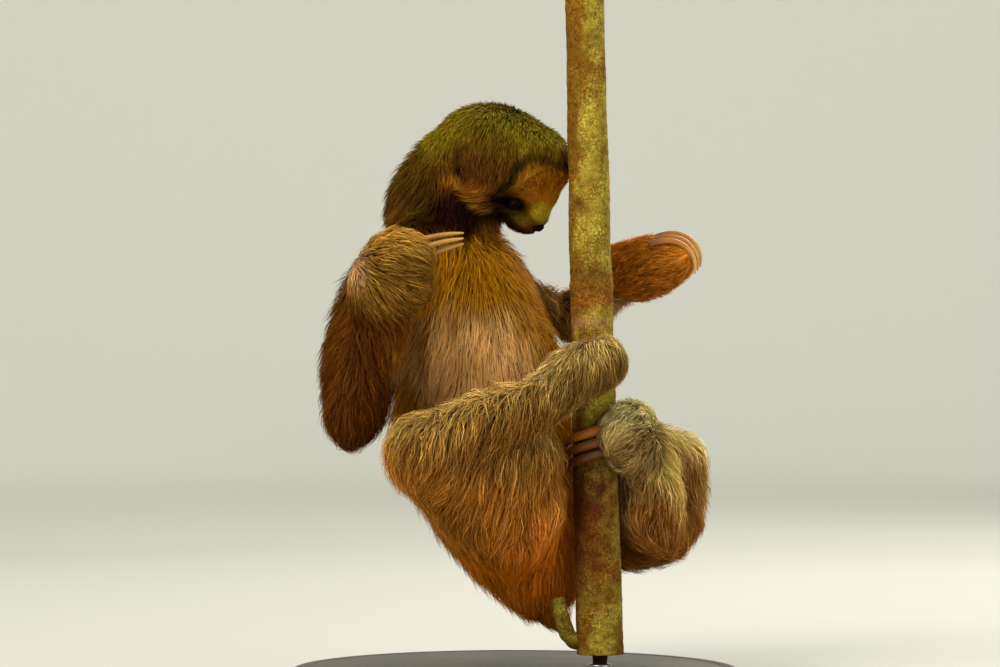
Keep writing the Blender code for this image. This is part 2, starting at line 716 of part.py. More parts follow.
def stand():
    base = add_object("stand_base", cylinder_mesh("stand_base", BASE_RADIUS, 0.0, BASE_THICKNESS, segments=56), BOARD)
    bevel = base.modifiers.new("rounded rim", "BEVEL")
    bevel.width = BASE_BEVEL
    bevel.segments = 1
    bevel.limit_method = "ANGLE"
    base.data = evaluated_mesh(base)
    base.modifiers.clear()
    base.data.materials.append(BOARD)
    foot = BASE_THICKNESS - ROD_IN_BASE
    bore = cylinder_mesh("base_bore", ROD_RADIUS + GAP, foot - GAP, BASE_THICKNESS + 0.01, STEM_FOOT.x, 0.0, 24)
    boolean(base, bore)
    top = STEM_FOOT.z + ROD_IN_STEM - GAP
    add_object("stand_rod", cylinder_mesh("stand_rod", ROD_RADIUS, foot, top, STEM_FOOT.x, 0.0, 24), STEEL)


clear_scene()
PARTS = collection("three_toed_sloth")
HELPERS = collection("helpers")
FUR = material("coat", (0.30, 0.20, 0.09), 0.9)
SKIN = material("bare_skin", (0.04, 0.03, 0.025), 0.55)
EYE = material("eye", (0.012, 0.008, 0.006), 0.08)
HORN = material("claw_horn", (0.45, 0.32, 0.16), 0.4)
BARK = material("bark", (0.33, 0.27, 0.12), 0.85)
BOARD = material("stand_board", (0.05, 0.045, 0.04), 0.45)
STEEL = material("stand_steel", (0.5, 0.5, 0.5), 0.35, 1.0)

animal = part_body()
face_pieces(animal["head"])
claws(animal)
perch(animal)
stand()
for part in animal.values():
    keep_largest(part)
for part in PARTS.objects:
    part.data.shade_smooth()
    part.data.set_sharp_from_angle(angle=math.radians(40))
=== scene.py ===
# %% [markdown]
# # A three-toed sloth on a stem
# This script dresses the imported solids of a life-size display model. The solids give the outline out to the
# tips of the coat. Here the animal gets one skin under that outline, a coat of mesh tufts that fills the space
# between the two, a modelled face, horn claws, bark on the stem and a finished stand.
#
# Everything is in metres, in the frame of the solids, with +Z up and the floor at zero.

# %% Load the solids and measure their box
import math
from collections import namedtuple

import bmesh
import bpy
import numpy as np
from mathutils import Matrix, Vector
from mathutils.bvhtree import BVHTree
from mathutils.kdtree import KDTree


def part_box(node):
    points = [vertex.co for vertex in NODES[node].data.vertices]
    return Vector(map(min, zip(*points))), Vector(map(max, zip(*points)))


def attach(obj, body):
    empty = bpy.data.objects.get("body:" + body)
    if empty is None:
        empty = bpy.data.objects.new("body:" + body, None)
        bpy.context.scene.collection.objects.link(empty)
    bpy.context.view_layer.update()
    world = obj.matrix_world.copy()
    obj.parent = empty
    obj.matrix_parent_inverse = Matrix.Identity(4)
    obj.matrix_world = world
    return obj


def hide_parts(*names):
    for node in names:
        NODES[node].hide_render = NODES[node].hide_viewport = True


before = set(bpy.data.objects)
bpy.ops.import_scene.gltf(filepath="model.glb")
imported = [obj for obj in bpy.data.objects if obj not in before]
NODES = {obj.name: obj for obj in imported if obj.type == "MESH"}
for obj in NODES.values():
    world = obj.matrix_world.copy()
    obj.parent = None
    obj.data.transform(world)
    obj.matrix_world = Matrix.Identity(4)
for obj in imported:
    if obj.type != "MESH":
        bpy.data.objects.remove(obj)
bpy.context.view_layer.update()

# %% [markdown]
# ## Camera, backdrop and light
# A long lens about three metres away, level with the middle of the animal, flattens the perspective as a
# wildlife lens does. The floor and the wall behind are one pale sheet with a round bend, as in a photo studio,
# so no horizon line crosses the picture. Three big soft lights shape the coat: a warm key from the upper
# left, a weak fill from the right, and a light from behind that draws the edge of the fur.

# %% Camera
def add_object(name, data):
    """A new object in the scene that holds this mesh, lamp or camera."""
    made = bpy.data.objects.new(name, data)
    bpy.context.scene.collection.objects.link(made)
    return made


VIEW_DISTANCE = 3.0
VIEW_WIDTH = 0.78  # what the picture takes in across the middle of the model
VIEW_CENTRE = Vector((-0.0117, 0.0, 0.2789))
SENSOR = 36.0

camera_data = bpy.data.cameras.new("camera")
camera_data.sensor_width = SENSOR
camera_data.lens = SENSOR * VIEW_DISTANCE / VIEW_WIDTH
camera = add_object("camera", camera_data)
camera.location = VIEW_CENTRE - Vector((0.0, VIEW_DISTANCE, 0.0))
camera.rotation_euler = (math.pi / 2, 0.0, 0.0)
bpy.context.scene.camera = camera
bpy.context.scene.view_settings.view_transform = "Standard"
print("lens", round(camera_data.lens, 1), "mm")


# %% Small mesh helpers
def new_mesh(name, points, faces):
    """A mesh from arrays: one row per vertex, and one row of three or four vertex numbers per face."""
    mesh = bpy.data.meshes.new(name)
    sides = faces.shape[1]
    mesh.vertices.add(len(points))
    mesh.vertices.foreach_set("co", np.ascontiguousarray(points, np.float32).ravel())
    mesh.loops.add(faces.size)
    mesh.loops.foreach_set("vertex_index", faces.astype(np.int32).ravel())
    mesh.polygons.add(len(faces))
    mesh.polygons.foreach_set("loop_start", np.arange(0, faces.size, sides, dtype=np.int32))
    mesh.polygons.foreach_set("use_smooth", np.ones(len(faces), bool))
    mesh.update(calc_edges=True)
    return mesh


def add_map(mesh, corners):
    """A flat map of the mesh, from one pair of coordinates per face corner."""
    layer = mesh.uv_layers.new(name="OFBake", do_init=False)
    layer.uv.foreach_set("vector", np.ascontiguousarray(corners, np.float32).ravel())


def add_tint(mesh, tint):
    """The colour of each vertex, as an attribute that the materials read."""
    layer = mesh.color_attributes.new("tint", "FLOAT_COLOR", "POINT")
    layer.data.foreach_set("color", np.hstack([tint, np.ones((len(tint), 1))]).astype(np.float32).ravel())


def new_piece(name, shape, material, slot, *nodes, corners=None, tint=None):
    """Puts a mesh, or points and faces, into the scene as a piece that rides on the model.

    It may stand for CAD nodes, have a map and hold a colour at each vertex."""
    mesh = shape if isinstance(shape, bpy.types.Mesh) else new_mesh(name, *shape)
    if corners is not None:
        add_map(mesh, corners)
    if tint is not None:
        add_tint(mesh, tint)
    mesh.materials.append(material)
    piece = add_object(name, mesh)
    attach(piece, "root")
    if nodes:
        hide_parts(*nodes)


def grid_faces(rows, columns, closed):
    """Quads between neighbouring rows and columns of a grid; closed joins the last column to the first."""
    across = columns if closed else columns - 1
    row, column = np.meshgrid(np.arange(rows - 1), np.arange(across), indexing="ij")
    beside = (column + 1) % columns
    corners = [row * columns + column, row * columns + beside]
    corners += [(row + 1) * columns + beside, (row + 1) * columns + column]
    return np.stack(corners, -1).reshape(-1, 4)


def unit(vectors):
    """Each vector divided by its own length."""
    return vectors / np.maximum(np.linalg.norm(vectors, axis=-1, keepdims=True), 1e-12)


def step_between(low, high, values):
    """0 below low, 1 above high, and a smooth S between: 3t^2 - 2t^3."""
    share = np.clip((values - low) / (high - low), 0.0, 1.0)
    return share * share * (3.0 - 2.0 * share)


def bell(gap, width):
    """1 where the gap is zero, falling to nothing at about twice the width: exp(-(gap / width)^2)."""
    return np.exp(-((gap / width) ** 2))


def blend(first, second, share):
    """The first value where the share is 0, the second where it is 1, and a straight mix between."""
    return first * (1 - share) + second * share


def waves(points, size, seed):
    """Smooth noise between about -1 and 1: a mean of sines along random directions, of about that wavelength."""
    rng = np.random.default_rng(seed)
    directions = unit(rng.normal(size=(8, 3))) * rng.uniform(0.7, 1.4, (8, 1)) * 2.0 * math.pi / size
    return np.sin(points @ directions.T + rng.uniform(0.0, 2.0 * math.pi, 8)).sum(-1) / 4.0


# %% Material helpers
def new_material(name, roughness, specular=0.5):
    """A material with a Principled shader whose even values sit on its own sockets."""
    material = bpy.data.materials.new(name)
    material.use_nodes = True
    shader = material.node_tree.nodes["Principled BSDF"]
    shader.inputs["Roughness"].default_value = roughness
    shader.inputs["Specular IOR Level"].default_value = specular
    return material, material.node_tree, shader


def add_node(tree, kind, settings=(), **values):
    """A shader node with its settings and values; a value may be another node's output socket.

    A value is named as its socket is, or by the socket's number after a low line."""
    node = tree.nodes.new(kind)
    for key, setting in dict(settings).items():
        setattr(node, key, setting)
    for key, value in values.items():
        socket = node.inputs[int(key[1:]) if key[0] == "_" else key.replace("_", " ")]
        if isinstance(value, bpy.types.NodeSocket):
            tree.links.new(value, socket)
        else:
            socket.default_value = value
    return node


def colour(code):
    """Linear red, green and blue from a six-figure hex code, by the sRGB curve."""
    parts = np.array([int(code[i:i + 2], 16) / 255 for i in (0, 2, 4)])
    return np.where(parts <= 0.04045, parts / 12.92, ((parts + 0.055) / 1.055) ** 2.4)


def rgba(code):
    """The same colour as a shader value, with full alpha."""
    return (*colour(code), 1.0)


def ramp(tree, factor, stops):
    """A colour ramp node with the given (position, hex code) stops."""
    node = tree.nodes.new("ShaderNodeValToRGB")
    band = node.color_ramp
    for index, (position, code) in enumerate(stops):
        stop = band.elements[index] if index < 2 else band.elements.new(position)
        stop.position = position
        stop.color = rgba(code)
    tree.links.new(factor, node.inputs["Fac"])
    return node.outputs["Color"]


# %% Material building blocks
def object_place(tree):
    """Where a point is in the model's frame, from the object's own coordinates."""
    return add_node(tree, "ShaderNodeTexCoord").outputs["Object"]


def noise(tree, scale, detail=2.0, **values):
    """Noise with about that many lumps to the metre, over the model's frame unless another Vector is given."""
    if "Vector" not in values:
        values["Vector"] = object_place(tree)
    return add_node(tree, "ShaderNodeTexNoise", Scale=scale, Detail=detail, **values).outputs["Fac"]


def stretched(tree, scale):
    """The model's frame drawn out by different scales along its axes, for a grain that runs one way."""
    return add_node(tree, "ShaderNodeMapping", Vector=object_place(tree), Scale=scale).outputs["Vector"]


def cells(tree, scale):
    """How far a point is from the middle of its cell, with about that many cells to the metre."""
    return add_node(tree, "ShaderNodeTexVoronoi", Vector=object_place(tree), Scale=scale).outputs["Distance"]


def ranged(tree, value, low, high, to_low=0.0, to_high=1.0):
    """The stretch of a value from low to high, brought to another stretch and held at its ends."""
    node = add_node(tree, "ShaderNodeMapRange", Value=value, From_Min=low, From_Max=high, To_Min=to_low, To_Max=to_high)
    return node.outputs["Result"]


def worked(tree, operation, *values):
    """Numbers put through one step of arithmetic."""
    named = {f"_{index}": value for index, value in enumerate(values)}
    return add_node(tree, "ShaderNodeMath", {"operation": operation}, **named).outputs["Value"]


def times(tree, first, second):
    """Two colours multiplied."""
    return add_node(tree, "ShaderNodeVectorMath", {"operation": "MULTIPLY"}, _0=first, _1=second).outputs["Vector"]


def mixed(tree, share, first, second):
    """One colour laid over another by a share."""
    return add_node(tree, "ShaderNodeMix", {"data_type": "RGBA"}, _0=share, _6=first, _7=second).outputs[2]


def held_tint(tree):
    """The colour that each vertex holds in the mesh's attribute."""
    return add_node(tree, "ShaderNodeAttribute", {"attribute_name": "tint"}).outputs["Color"]


def dress(tree, shader, base, height=None, strength=0.0, distance=0.0):
    """Gives the shader its base colour, and a bump from a height where there is one."""
    tree.links.new(base, shader.inputs["Base Color"])
    if height is not None:
        bump = add_node(tree, "ShaderNodeBump", Strength=strength, Distance=distance, Height=height)
        tree.links.new(bump.outputs["Normal"], shader.inputs["Normal"])


def tinted_material(name, roughness, specular, scale, detail, depth, bump, distance=0.0006):
    """Reads the tint of each vertex and mottles it by that depth with a fine noise, which may also bump it."""
    material, tree, shader = new_material(name, roughness, specular)
    grain = noise(tree, scale, detail)
    shade = ranged(tree, grain, 0.0, 1.0, 1 - depth, 1 + depth)
    dress(tree, shader, times(tree, held_tint(tree), shade), grain if bump else None, bump, distance)
    return material


# %% Backdrop: a floor that bends up into a wall
SWEEP_HALF_WIDTH = 20.0
SWEEP_BACK = 5.4
SWEEP_FRONT = -40.0
SWEEP_BEND = 1.2
SWEEP_TOP = 6.0
STUDIO_AIR = (0.95, 0.95, 0.88)  # the pale colour of the light from all round, and of the far paper
AIR_STRENGTH = 0.56

turn = np.linspace(-math.pi / 2, 0.0, 25)
bend = np.stack([SWEEP_BACK - SWEEP_BEND + SWEEP_BEND * np.cos(turn), SWEEP_BEND + SWEEP_BEND * np.sin(turn)], 1)
profile = np.vstack([[SWEEP_FRONT, 0.0], bend, [SWEEP_BACK, SWEEP_TOP]])
sheet = np.array([[(x, y, z) for x in (-SWEEP_HALF_WIDTH, SWEEP_HALF_WIDTH)] for y, z in profile])
sweep_mesh = new_mesh("studio_sweep", sheet.reshape(-1, 3), grid_faces(len(profile), 2, False)[:, ::-1])
paper, paper_tree, paper_shader = new_material("studio_paper", 0.9, 0.2)
paper_noise = add_node(paper_tree, "ShaderNodeTexNoise", Scale=1.5)
paper_tint = ramp(paper_tree, paper_noise.outputs["Fac"], [(0.3, "c9c9c0"), (0.7, "d0d0c8")])
paper_away = add_node(paper_tree, "ShaderNodeVectorMath", {"operation": "LENGTH"}, _0=object_place(paper_tree))
paper_far = ranged(paper_tree, paper_away.outputs["Value"], 2.0, 4.5)  # lighter where the lamps no longer reach
dress(paper_tree, paper_shader, mixed(paper_tree, paper_far, paper_tint, (*STUDIO_AIR, 1.0)))
sweep_mesh.materials.append(paper)
sweep = add_object("studio_sweep", sweep_mesh)

# %% Lights
LIGHTS = {  # place, size, power, colour
    "key": ((-1.3, -1.8, 2.2), 1.1, 68.0, (1.0, 0.95, 0.87)),
    "fill": ((2.4, -2.0, 1.0), 1.8, 20.0, (0.98, 0.99, 1.0)),
    "rim": ((1.2, 1.6, 1.9), 1.0, 46.0, (1.0, 0.97, 0.88)),
}
for name, (place, size, power, tint) in LIGHTS.items():
    lamp = bpy.data.lights.new(name, "AREA")
    lamp.size = size
    lamp.energy = power
    lamp.color = tint
    light = add_object(name, lamp)
    light.location = place
    light.rotation_euler = (VIEW_CENTRE - Vector(place)).to_track_quat("-Z", "Y").to_euler()

world = bpy.data.worlds.new("studio_air")
world.use_nodes = True
air = world.node_tree.nodes["Background"].inputs
air["Color"].default_value = (*STUDIO_AIR, 1.0)
air["Strength"].default_value = AIR_STRENGTH
bpy.context.scene.world = world
print("lights:", list(LIGHTS))

# %% [markdown]
# ## Where the animal's joints and face are
# The coat's lie and its markings are placed from the solids, so they move if the solids do. A joint is the
# middle of the cut between two nodes. The head has its own axes, found from the eyes, the nose and the ears,
# because its markings and folds are easiest to place in forward, left and up from the middle of the skull.

# %% Joints from the cuts
FLESH = ["head", "neck", "trunk", "tail", "ear_right", "ear_left"]
FLESH += [f"{part}_{side}" for side in ("right", "left")
          for part in ("upper_arm", "forearm", "hand", "thigh", "shin", "foot")]


def mesh_points(mesh, value="co"):
    """A mesh's vertices, or their normals, as an array with one row each."""
    flat = np.empty(len(mesh.vertices) * 3, np.float32)
    mesh.vertices.foreach_get(value, flat)
    return flat.reshape(-1, 3).astype(float)


def middle(node):
    """The middle of a node's box."""
    low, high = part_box(node)
    return np.array((low + high) / 2)


def point_finder(points):
    """A tree that finds the nearest of some points."""
    tree = KDTree(len(points))
    for index, point in enumerate(points):
        tree.insert(point, index)
    tree.balance()
    return tree


def meeting(first, second):
    """The middle of the cut between two nodes: the mean of the first one's points nearest to the second."""
    tree = point_finder(mesh_points(NODES[second].data))
    own = mesh_points(NODES[first].data)
    gaps = np.array([tree.find(point)[2] for point in own])
    near = own[gaps < gaps.min() + 0.002]
    return (near.min(0) + near.max(0)) / 2


NECK_TOP = meeting("head", "neck")
LINKS = {"shoulder": ("upper_arm_{}", "trunk"), "wrist": ("hand_{}", "forearm_{}"), "hip": ("thigh_{}", "trunk"),
         "ankle": ("foot_{}", "shin_{}")}
JOINT = {(joint, side): meeting(outer.format(side), inner.format(side))
         for side in ("right", "left") for joint, (outer, inner) in LINKS.items()}
for joint, place in JOINT.items():
    print(joint, place.round(3))

# %% The head's axes
EARS_TO_EYES = (0.0462, -0.0130)  # forward and up, in the head's own axes
EYES_TO_NOSE = (0.0183, -0.0112)
SKULL_TO_EYES = (0.0362, -0.0150)

eye_middle = (middle("eye_right") + middle("eye_left")) / 2
ear_middle = (middle("ear_right") + middle("ear_left")) / 2
HEAD_LEFT = unit(middle("eye_left") - middle("eye_right"))
levers = np.array([EARS_TO_EYES, EYES_TO_NOSE])
spans = np.array([eye_middle - ear_middle, middle("nose") - eye_middle])
forward = np.linalg.lstsq(levers, spans, rcond=None)[0][0]
HEAD_FORWARD = unit(forward - HEAD_LEFT * (forward @ HEAD_LEFT))
HEAD_UP = np.cross(HEAD_FORWARD, HEAD_LEFT)
HEAD_AXES = np.stack([HEAD_FORWARD, HEAD_LEFT, HEAD_UP])
SKULL = eye_middle - np.array([SKULL_TO_EYES[0], 0.0, SKULL_TO_EYES[1]]) @ HEAD_AXES


def in_head(points):
    """Points in the head's own axes: forward, left and up from the middle of the skull."""
    return (points - SKULL) @ HEAD_AXES.T


def from_head(points):
    """Points given in the head's own axes, in the model's frame."""
    return np.asarray(points) @ HEAD_AXES + SKULL


print("skull", SKULL.round(4), "forward", HEAD_FORWARD.round(3), "up", HEAD_UP.round(3))

# %% [markdown]
# ## The coat's facts
# A sloth's coat is long and coarse on the body, shorter on the hands and feet, and short and flat on the face.
# One table holds what each part of the body has: how deep the coat is, how long and wide its tufts are, the
# colour of its upper and its lower side, the point that its hairs point away from, and the way gravity and the
# grain pull them. On the forearms and shins a sloth's hair points from the hand towards the elbow.

# %% The table of the coat
Coat = namedtuple("Coat", "depth length width upper lower tip source pull")
MILLIMETRE = 0.001
DOWN = np.array([0.0, 0.0, -1.0])


def coat(depth, length, width, upper, lower, tip, source, pull):
    """One row of the table, with its first three sizes given in millimetres."""
    sizes = [size * MILLIMETRE for size in (depth, length, width)]
    return Coat(*sizes, colour(upper), colour(lower), colour(tip), np.array(source), np.array(pull))


MUZZLE = from_head((0.062, 0.0, -0.018))
WRIST_PARTING = JOINT["wrist", "right"] + np.array([-0.018, -0.012, 0.034])
HEEL_PARTING = JOINT["ankle", "right"] + np.array([0.030, 0.005, 0.055])
CROWN = from_head((-0.026, 0.040, 0.030))
TAIL_SOURCE = meeting("tail", "trunk")

# The upper and lower colours are partly the coat's own tones and partly painted light: upper sides painted lighter as
# if lit from above, lower sides darker with painted shade.
COATS = {
    "head": coat(7, 12, 0.55, "786a0a", "582c06", "a48830", MUZZLE, (0, 0, 0)),
    "neck": coat(12, 24, 0.62, "4e3a08", "3e2004", "745410", NECK_TOP + 0.02 * HEAD_UP, 1.2 * DOWN),
    "trunk": coat(17, 33, 0.62, "a86c06", "a06406", "cc942c", NECK_TOP, 1.0 * DOWN),
    "tail": coat(7, 20, 0.62, "8a5c1c", "784410", "b08040", TAIL_SOURCE, 0.3 * DOWN),
    "upper_arm_right": coat(14, 32, 0.62, "553206", "4c2805", "80541a", JOINT["shoulder", "right"], 1.0 * DOWN),
    "upper_arm_left": coat(14, 32, 0.62, "96682c", "6b4410", "b89058", JOINT["shoulder", "left"], 0.7 * DOWN),
    "forearm_right": coat(13, 29, 0.60, "5a3007", "4e2605", "8f601c", WRIST_PARTING, 0.7 * DOWN),
    "forearm_left": coat(12, 28, 0.60, "b87a34", "90601c", "d0a058", JOINT["wrist", "left"], 0.6 * DOWN),
    "hand_right": coat(7, 19, 0.55, "8c6220", "603f0c", "ecc264", WRIST_PARTING, (0.10, 0, -0.25)),
    "hand_left": coat(7, 15, 0.55, "cc7c18", "b0660f", "e8b058", JOINT["wrist", "left"], (0, 0, 0)),
    "thigh_right": coat(16, 36, 0.62, "98601a", "905206", "e8c478", JOINT["hip", "right"], 2.5 * DOWN),
    "thigh_left": coat(16, 34, 0.62, "c4a850", "784408", "eed084", JOINT["hip", "left"], 0.9 * DOWN),
    "shin_right": coat(14, 34, 0.60, "9a7630", "6c3e06", "f2dc90", JOINT["ankle", "right"], 3.2 * DOWN),
    "shin_left": coat(14, 32, 0.60, "c8b058", "723e06", "f2de94", JOINT["ankle", "left"], 2.4 * DOWN),
    "foot_right": coat(8, 21, 0.58, "907638", "624210", "f2de9c", HEEL_PARTING, 0.7 * DOWN),
    "foot_left": coat(8, 20, 0.58, "b8a65e", "7a5820", "f4ecc0", JOINT["ankle", "left"], 0.5 * DOWN),
}
COATS["ear_right"] = COATS["ear_left"] = COATS["head"]
SIZE_ROUNDS, TINT_ROUNDS, LIE_ROUNDS = 25, 14, 30  # how much smoothing blends the parts' values into each other
SKIN_DEPTH_ON_FACE = 1.6 * MILLIMETRE
HAIR_ON_FACE = 4.5 * MILLIMETRE
NARROWER_ON_FACE = 0.5
FACE_CENTRE = (0.055, 0.0, -0.018)  # in the head's axes
print("coat rows:", len(COATS))

# %% [markdown]
# ## The skin
# The flesh nodes are faceted solids with thin cuts between them. The skin is made from all of them: each is
# swollen a little so that the cuts close, a voxel remesh fuses them into one closed surface of even grain, and
# that surface then sinks inwards by the coat's depth, in small steps with some smoothing, as erosion does.
# A second remesh clears up any place where the sinking surface met itself.


# %% Fuse the flesh nodes
def remeshed(points, faces, grain):
    """The surface rebuilt by voxels of that size, as points and triangles."""
    body = add_object("clay", new_mesh("clay", points, faces))
    modifier = body.modifiers.new("voxels", "REMESH")
    modifier.mode = "VOXEL"
    modifier.voxel_size = grain
    made = body.evaluated_get(bpy.context.evaluated_depsgraph_get()).to_mesh()
    made.calc_loop_triangles()
    corners = np.empty(len(made.loop_triangles) * 3, np.int32)
    made.loop_triangles.foreach_get("vertices", corners)
    result = mesh_points(made), corners.reshape(-1, 3)
    clay_mesh = body.data
    bpy.data.objects.remove(body)
    bpy.data.meshes.remove(clay_mesh)
    return result


def face_normals(points, triangles):
    """Each triangle's normal, twice its area long."""
    a, b, c = (points[triangles[:, i]] for i in range(3))
    return np.cross(b - a, c - a)


def summed(values, owners, count):
    """Adds up the rows of values that belong to each owner."""
    columns = [np.bincount(owners, values[:, i], count) for i in range(values.shape[1])]
    return np.stack(columns, 1)


def point_normals(points, triangles):
    """Each point's normal: the sum of its triangles' normals, made one long."""
    normals = face_normals(points, triangles)
    return unit(summed(np.repeat(normals, 3, 0), triangles.ravel(), len(points)))


class Net:
    """Who neighbours whom on a triangle surface, for smoothing anything that its points hold."""

    def __init__(self, triangles, count):
        pairs = np.vstack([triangles[:, [0, 1]], triangles[:, [1, 2]], triangles[:, [2, 0]]])
        pairs = np.unique(np.sort(pairs, 1), axis=0)
        self.here = np.concatenate([pairs[:, 0], pairs[:, 1]])
        self.there = np.concatenate([pairs[:, 1], pairs[:, 0]])
        self.count = count
        self.degree = np.bincount(self.here, minlength=count)[:, None]

    def smooth(self, values, rounds, share=0.6):
        """Moves each value that share of the way to its neighbours' mean, a number of times."""
        values = values.reshape(self.count, -1)
        for _ in range(rounds):
            mean = summed(values[self.there], self.here, self.count) / self.degree
            values = values + share * (mean - values)
        return values


def flesh_surface():
    """All flesh nodes as one list of triangles, each with its node's number in FLESH."""
    points, triangles, owner = [], [], []
    for number, name in enumerate(FLESH):
        bm = bmesh.new()
        bm.from_mesh(NODES[name].data)
        bmesh.ops.remove_doubles(bm, verts=bm.verts, dist=1e-6)
        bmesh.ops.triangulate(bm, faces=bm.faces)
        start = sum(map(len, points))
        points.append(np.array([v.co for v in bm.verts]))
        triangles.append(np.array([[v.index for v in f.verts] for f in bm.faces]) + start)
        owner.append(np.full(len(triangles[-1]), number))
        bm.free()
    return np.vstack(points), np.vstack(triangles), np.concatenate(owner)


SWELL = 1.4 * MILLIMETRE
CLAY_GRAIN = 2.6 * MILLIMETRE
SKIN_GRAIN = 2.2 * MILLIMETRE

flesh_points, flesh_triangles, flesh_owner = flesh_surface()
flesh_tree = BVHTree.FromPolygons(flesh_points.tolist(), flesh_triangles.tolist())
swollen = flesh_points + SWELL * point_normals(flesh_points, flesh_triangles)
clay_points, clay_triangles = remeshed(swollen, flesh_triangles, CLAY_GRAIN)
print("fused clay:", len(clay_triangles), "triangles")


# %% Sink it by the depth of the coat
def owners_of(points):
    """For each point, the number in FLESH of the node whose surface is nearest."""
    return flesh_owner[[flesh_tree.find_nearest(point)[2] for point in points]]


def by_part(owners, field):
    """The table's value of that name for each point, from the part that it belongs to."""
    return np.array([getattr(COATS[name], field) for name in FLESH])[owners]


def face_share(points):
    """1 on the bare-looking face round the muzzle and eyes, falling smoothly to 0 where the head's coat starts."""
    reach = (in_head(points) - FACE_CENTRE) / (0.034, 0.036, 0.026)
    return step_between(1.25, 0.55, np.linalg.norm(reach, axis=1)[:, None])


SINK_STEPS = 10
clay_net = Net(clay_triangles, len(clay_points))
clay_outline = clay_net.smooth(clay_points, 2)
clay_owner = owners_of(clay_points)
depth = clay_net.smooth(by_part(clay_owner, "depth")[:, None], SIZE_ROUNDS)
at_face = face_share(clay_points)
depth = blend(depth, SKIN_DEPTH_ON_FACE, at_face) + SWELL
clay_points = clay_net.smooth(clay_points, 2)
for _ in range(SINK_STEPS):
    clay_points = clay_points - point_normals(clay_points, clay_triangles) * depth / SINK_STEPS
    kept = 1 - 0.9 * at_face
    clay_points = clay_points + kept * (clay_net.smooth(clay_points, 1) - clay_points)
skin_points, skin_triangles = remeshed(clay_points, clay_triangles, SKIN_GRAIN)
print("skin:", len(skin_triangles), "triangles")

# %% [markdown]
# ## Folds of the face
# The remesh is too coarse for a mouth, so the skin of the face is split finer first. The mouth is a groove along
# a line in the head's axes, with a slight roll of lip on both sides, and the skin rises to a low mound round
# each eye, where the lids sit.

# %% Split the face finer
FACE_REACH = 0.030
MOUTH_LINE = [(0.0545, 0.0000, -0.0322), (0.0525, 0.0065, -0.0320), (0.0455, 0.0118, -0.0320),
              (0.0375, 0.0150, -0.0315), (0.0315, 0.0205, -0.0285), (0.0285, 0.0250, -0.0262)]
MOUTH_DEPTH = 1.7 * MILLIMETRE
MOUTH_WIDTH = 1.3 * MILLIMETRE
LIP_RISE = 0.5 * MILLIMETRE


def split_near(points, triangles, centre, reach, rounds):
    """Splits each triangle near the centre in four, that many times, and joins them to their neighbours."""
    bm = bmesh.new()
    bm.from_mesh(new_mesh("fine", points, triangles))
    for _ in range(rounds):
        near = {v for v in bm.verts if (v.co - Vector(centre)).length < reach}
        edges = [e for e in bm.edges if near.issuperset(e.verts)]
        bmesh.ops.subdivide_edges(bm, edges=edges, cuts=1, use_grid_fill=True)
        bmesh.ops.triangulate(bm, faces=bm.faces)
        bm.verts.index_update()
    mesh = bpy.data.meshes.new("fine")
    bm.to_mesh(mesh)
    bm.free()
    corners = np.empty(len(mesh.polygons) * 3, np.int32)
    mesh.polygons.foreach_get("vertices", corners)
    return mesh_points(mesh), corners.reshape(-1, 3)


def distance_to_line(points, line):
    """How far each point is from a line of straight pieces: the least distance to any of its pieces."""
    least = np.full(len(points), np.inf)
    for start, end in zip(np.array(line)[:-1], np.array(line)[1:]):
        along = end - start
        share = np.clip((points - start) @ along / (along @ along), 0.0, 1.0)
        least = np.minimum(least, np.linalg.norm(points - start - share[:, None] * along, axis=1))
    return least


def mirrored(points):
    """Head-frame points folded onto the left side, so that one description serves both."""
    return points * (1, 0, 1) + np.abs(points) * (0, 1, 0)


skin_points, skin_triangles = split_near(skin_points, skin_triangles, from_head(FACE_CENTRE), FACE_REACH, 2)
skin_net = Net(skin_triangles, len(skin_points))
at_face = face_share(skin_points)
skin_points = skin_points + (0.35 + 0.45 * at_face) * (skin_net.smooth(skin_points, 4) - skin_points)

# %% Press the mouth in and raise the rims of the eyes
GAZE = unit(np.array((0.76, 0.56, -0.33)))  # of the left eye, in the head's axes
EYE_SET_BACK = 3.0 * MILLIMETRE
RIM_RISE = 1.1 * MILLIMETRE
EYE_CENTRE = {side: middle(f"eye_{side}") - EYE_SET_BACK * (GAZE * (1, mirror, 1)) @ HEAD_AXES
              for side, mirror in (("right", -1), ("left", 1))}
eye_low, eye_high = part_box("eye_left")
EYE_RADIUS = (eye_high - eye_low).z / 2

normals = point_normals(skin_points, skin_triangles)
mouth_gap = distance_to_line(mirrored(in_head(skin_points)), MOUTH_LINE)
rise = LIP_RISE * bell(mouth_gap - 2.6 * MOUTH_WIDTH, MOUTH_WIDTH) - MOUTH_DEPTH * bell(mouth_gap, MOUTH_WIDTH)
for centre in EYE_CENTRE.values():
    eye_gap = np.linalg.norm(skin_points - centre, axis=1)
    rise += RIM_RISE * bell(eye_gap - 1.2 * EYE_RADIUS, 0.8 * EYE_RADIUS)
skin_points = skin_points + normals * rise[:, None]
normals = point_normals(skin_points, skin_triangles)
print("face split:", len(skin_triangles), "triangles of skin")

# %% [markdown]
# ## What each point of the skin knows
# Every point of the skin carries what the coat needs there: the room up to the outline, the way the hair lies,
# its length and width, and its colour. The part that a point belongs to gives a first value, and smoothing
# over the surface blends the parts into each other. The markings of the face are soft spots in the head's axes.

# %% Room, length and lie
HEAD_PARTS = ["head", "ear_right", "ear_left"]
LEAST_ROOM = 0.6 * MILLIMETRE
LIE_TURN = math.radians(10)
LIE_WAVE = 0.034

outline_tree = BVHTree.FromPolygons(clay_outline.tolist(), clay_triangles.tolist())
found = [outline_tree.find_nearest(point) for point in skin_points]
skin_owner = clay_owner[clay_triangles[[hit[2] for hit in found], 0]]
room = np.array([hit[3] for hit in found])[:, None] - SWELL
room = skin_net.smooth(np.clip(room, LEAST_ROOM, None), 6)

